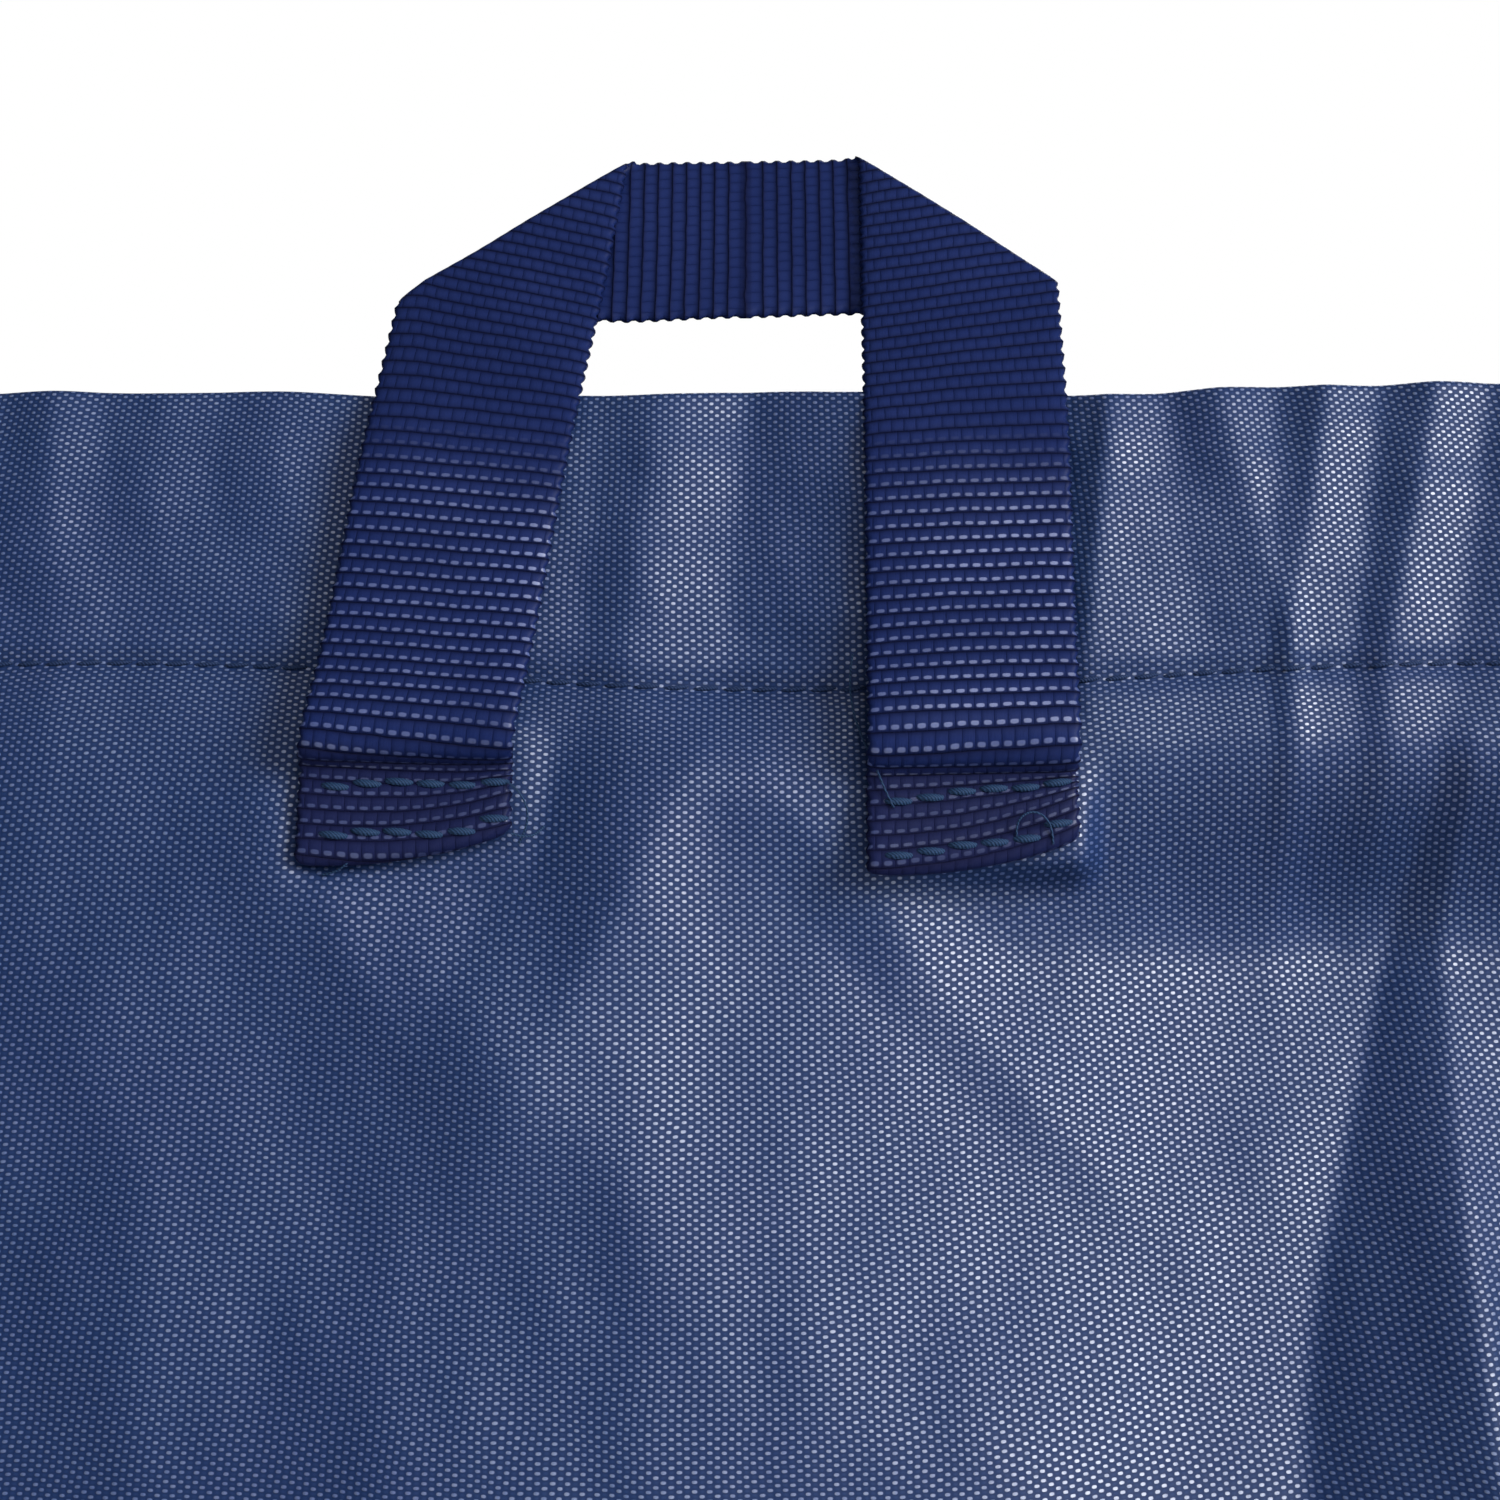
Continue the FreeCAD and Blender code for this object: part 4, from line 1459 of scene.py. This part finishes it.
    def strip(self) -> tuple[np.ndarray, np.ndarray]:
        """Points and map places of the whole strip, both faces, as a grid that wraps across.

        Its ribs are half circles sqrt(1 - s^2) over each row, its edges thin as |lane|^10, and the
        selvedge stands out a little at each rib. The sewn ends sag, and their right corners are
        turned up.

        Returns:
            Points and map places.
        """
        reach = self.flat_length / 2
        rows = int(2 * reach / (self.row_pitch / 4))
        run = np.linspace(-reach, reach, rows)[:, None]
        lane = np.linspace(-1.0, 1.0, 64)[None, :]
        tooth = self.tooth * np.cos(2 * np.pi * run / self.row_pitch)
        across = lane * self.width / 2 + np.sign(lane) * tooth * smooth(np.abs(lane), 0.9, 1.0)
        rib = self.rib_height * np.sqrt(np.clip(1 - (2 * ((run / self.row_pitch) % 1.0) - 1) ** 2, 0, 1))
        x, y, layer = self.drawn_flat(run, across)
        lane_x = np.clip((x - np.sign(run) * FOOT_SPACING / 2) / (self.width / 2), -1, 1)
        rise = smooth(y, 1.0, -8.0) * (4.3 * (0.5 + 0.5 * lane_x) ** 2.3)
        rise = rise - smooth(y, 8.0, -2.0) * np.where(run < 0, 0.8, 1.9)
        curl = 0.35 * (lane ** 2) * smooth(y, 4.0, 20.0)
        soft = 0.35 * ripple(x, y, 61, 40.0) * smooth(y, 3.0, 14.0)
        edge = np.sqrt(np.clip(1 - np.abs(lane) ** 10, 0.0, 1.0))
        half = (self.thickness / 2 * (0.35 + 0.65 * edge) + rib * edge)
        grids = []
        for face in (1.0, -1.0):
            off = layer + soft - curl + face * half
            out, up = (np.interp(y, self.length, self.curve[:, k])
                       + off * np.interp(y, self.length, self.way_out[:, k]) for k in (0, 1))
            grids.append(self.side.place(x, out - 0.2 * rise, up + rise))
        points = np.concatenate([grids[0], grids[1][:, ::-1]], 1)
        place = np.stack(np.broadcast_arrays(across, run), -1)
        places = np.concatenate([place, place[:, ::-1]], 1)
        return points, places

    def build(self, material: bpy.types.Material, thread: bpy.types.Material) -> None:
        """Makes the webbing and its stitches.

        Args:
            material: Finish of the webbing.
            thread: Finish of the thread.
        """
        points, places = self.strip()
        draft = Draft()
        draft.grid(points, places, wrap=True)
        draft.ends(points.shape[1])
        piece = draft.build(self.name + "_webbing", material)
        turn_outwards(piece)
        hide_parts(self.name + "_strap", self.name + "_left_end", self.name + "_right_end")
        self.flat_length * MM
        out = self.side.outwards
        low, high = self.cloth_out(SEWN_LOW), self.cloth_out(SEWN_HIGH)
        if self.pose is Pose.STANDING:
            foot, way, bend = out * 103.5, np.array([0.0, 0.0, 1.0]), (354.5, 361.5)
        else:
            slope = math.atan2(low - high, self.block)
            foot, way, bend = out * high, out * math.cos(slope), (3.4, 5.0)
            foot[2], way[2] = SEWN_HIGH, math.sin(slope)
        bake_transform(piece)
        LOG.info("%s: %d points", self.name, draft.total)
        self.stitching(thread)

    def stitching(self, thread: bpy.types.Material) -> None:
        """Makes two rows of thick stitches across each sewn end, and the loose thread ends.

        Args:
            thread: Finish of the thread.
        """
        draft = Draft()
        for sign in (-1.0, 1.0):
            foot = sign * FOOT_SPACING / 2
            rise = 0.10 if sign > 0 else 0.01
            for level in ((350.7, 344.5) if sign > 0 else (351.6, 345.9)):
                at = np.arange(-9.4, 9.5, self.stitch.pitch)
                z = level + rise * at + 0.25 * np.sin(at * 2.1 + level)
                z = z + (352.0 - level) * 0.3 * np.clip((at - 2.0) / 8.0, 0.0, 1.0) ** 2
                off = np.full_like(at, 2.75 if level > 348.0 else 3.15)
                spot = self.off_cloth(foot + at, z, off)
                next_z = z + rise + 0.12 * np.cos(at * 5.0)
                along = unit(self.off_cloth(foot + at + 1.0, next_z, off) - spot)
                out = np.cross(along, np.array([0.0, 0.0, 1.0]))
                out *= np.sign((out * self.side.outwards).sum(1, keepdims=True))
                draft.islands(self.stitch.lay(spot, along, out))
        if self.pose is Pose.STANDING:
            for ends in self.loose_threads():
                path = spline(ends, 40)
                line = self.off_cloth(path[:, 0], path[:, 1], path[:, 2])
                draft.islands(tube(line, 0.13, (0.3, 1.0, 0.2), 6)[None])
        piece = draft.build(self.name + "_threads", thread)
        turn_outwards(piece)
        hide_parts(self.name + "_stitching")
        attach(piece, "bag")

    def off_cloth(self, x: np.ndarray, z: np.ndarray, off: np.ndarray) -> np.ndarray:
        """Points off the cloth round the sewn ends.

        Args:
            x: Place across the bag.
            z: Height.
            off: Distance off the bag's outline.

        Returns:
            Points, with a last axis of 3.
        """
        low, high = 330.0, 360.0
        out = np.interp(z, (low, high), (self.cloth_out(low), self.cloth_out(high))) + off
        return self.side.place(x, out, z)

    @staticmethod
    def loose_threads() -> list[list[tuple[float, float, float]]]:
        """Loose thread ends.

        Returns:
            For each, points on its way as place across, height and distance off the cloth.
        """
        return [
            [(18.2, 366.8, 0.9), (17.7, 363.6, 1.3), (18.1, 360.2, 1.0), (19.4, 356.4, 1.6),
             (20.6, 354.0, 3.2), (21.6, 351.2, 3.4), (22.8, 348.8, 3.2)],
            [(37.0, 345.0, 3.0), (36.8, 347.6, 4.4), (39.0, 348.8, 4.6), (41.0, 347.2, 4.0),
             (41.2, 344.6, 3.1)],
            [(-22.4, 352.0, 3.0), (-20.2, 350.4, 3.4), (-19.4, 347.4, 2.2), (-20.8, 344.6, 1.4)],
            [(-21.6, 345.8, 3.0), (-19.2, 345.2, 2.4), (-17.9, 346.6, 1.2)],
            [(-40.0, 343.0, 2.6), (-41.6, 341.4, 1.6), (-43.6, 341.0, 0.9)],
        ]


# ---------------------------------------------------------------- studio
@dataclass(frozen=True)
class Studio:
    """Floor, white surroundings, soft lights and the camera."""

    eye: tuple = (0.0061, -0.4296, 0.3555)
    field_of_view: float = 29.93

    def floor(self) -> None:
        """Makes a wide pale floor."""
        draft = Draft()
        turn = round_places(64)
        radius = np.array([1.0, 4000.0])[:, None]
        disc = np.stack([radius * np.cos(turn), radius * np.sin(turn), np.zeros((2, len(turn)))], -1)
        draft.grid(disc, wrap=True, flip=True)
        draft.faces.append(np.arange(len(turn))[None])
        draft.build("floor", PaleFloor().material())

    def surroundings(self) -> None:
        """Makes the world: white behind the bag, softer white light on it."""
        world = bpy.data.worlds.new("studio")
        bpy.context.scene.world = world
        world.use_nodes = True
        nodes, links = world.node_tree.nodes, world.node_tree.links
        nodes.clear()
        path = nodes.new("ShaderNodeLightPath")
        light, white = nodes.new("ShaderNodeBackground"), nodes.new("ShaderNodeBackground")
        light.inputs["Color"].default_value = (0.93, 0.96, 1.0, 1.0)
        light.inputs["Strength"].default_value = 0.15
        white.inputs["Color"].default_value = (1.0, 1.0, 1.0, 1.0)
        white.inputs["Strength"].default_value = 1.0
        mixed = nodes.new("ShaderNodeMixShader")
        output = nodes.new("ShaderNodeOutputWorld")
        links.new(path.outputs["Is Camera Ray"], mixed.inputs[0])
        links.new(light.outputs[0], mixed.inputs[1])
        links.new(white.outputs[0], mixed.inputs[2])
        links.new(mixed.outputs[0], output.inputs[0])

    def lamp(self, name: str, place: tuple, aim: tuple, size: float, power: float,
             colour: tuple = (1.0, 1.0, 1.0)) -> None:
        """Adds a square soft light.

        Args:
            name: Its name.
            place: Where it stands.
            aim: What it points at.
            size: Side of the square in metres.
            power: Watts.
            colour: Its colour.
        """
        data = bpy.data.lights.new(name, "AREA")
        data.size = size
        data.energy = power
        data.color = colour
        lamp = bpy.data.objects.new(name, data)
        bpy.context.scene.collection.objects.link(lamp)
        way = np.array(aim) - np.array(place)
        lamp.location = place
        lamp.rotation_euler = (math.atan2(math.hypot(way[0], way[1]), -way[2]), 0.0,
                               math.atan2(way[1], way[0]) - math.pi / 2)
        lamp.visible_camera = False

    def lights(self) -> None:
        """Adds the key from the right, a broad light above, a weak fill, a window and a back light."""
        middle = (0.0, -0.1, 0.33)
        self.lamp("key_light", (1.15, -0.95, 0.85), middle, 0.8, 50.0)
        self.lamp("top_light", (-0.2, -0.5, 1.7), middle, 1.2, 6.0)
        self.lamp("fill_light", (-1.5, -0.9, 0.5), middle, 1.0, 1.5)
        self.lamp("window_light", (0.3, -1.3, 1.05), middle, 0.5, 8.0, (0.88, 0.9, 1.0))
        self.lamp("back_light", (0.6, 1.6, 1.1), (0.0, 0.1, 0.2), 1.4, 45.0)

    def camera(self) -> None:
        """Adds the camera, level and square on to the bag."""
        data = bpy.data.cameras.new("camera")
        data.sensor_width = 36.0
        data.lens = data.sensor_width / 2 / math.tan(math.radians(self.field_of_view / 2))
        data.clip_start = 0.01
        camera = bpy.data.objects.new("camera", data)
        bpy.context.scene.collection.objects.link(camera)
        camera.location = self.eye
        camera.rotation_euler = (math.pi / 2, 0.0, 0.0)
        bpy.context.scene.camera = camera

    def build(self) -> None:
        """Makes the whole studio."""
        self.floor()
        self.surroundings()
        self.lights()
        self.camera()
        bpy.context.scene.view_settings.view_transform = "Standard"


def main() -> None:
    """Builds the bag's looks in order: cloth, bottom, mouth, loops, studio."""
    logging.basicConfig(level=logging.INFO, format="%(name)s: %(message)s")
    outline = Outline()
    oxford = OxfordCloth().material()
    webbing = RibbedWebbing().material()
    tape = PlainTape("binding_tape", (0.004, 0.008, 0.028), (0.020, 0.030, 0.080), 1.1).material()
    band = PlainTape("elastic", (0.45, 0.45, 0.44), (0.72, 0.72, 0.70), 1.4).material()
    hem_thread = SewingThread("hem_thread", (0.002, 0.007, 0.026), (0.009, 0.021, 0.060), 0.6).material()
    seam_thread = SewingThread("seam_thread", (0.010, 0.018, 0.050), (0.045, 0.065, 0.140)).material()
    loop_thread = SewingThread("loop_thread", (0.002, 0.009, 0.026), (0.011, 0.030, 0.072), 0.6).material()

    cloth = BagCloth(outline)
    cloth.build(oxford)
    bottom = BagBottom(outline)
    bottom.base(oxford)
    bottom.corner_seams(tape, seam_thread)
    bottom.base_seam(tape, seam_thread)
    mouth = Mouth(cloth)
    mouth.elastic(band)
    mouth.stitching(hem_thread)
    WebbingLoop(outline, Pose.STANDING, Side.FRONT, "front_loop").build(webbing, loop_thread)
    WebbingLoop(outline, Pose.HANGING, Side.BACK, "back_loop").build(webbing, loop_thread)
    Studio().build()


if __name__ == "__main__":
    main()
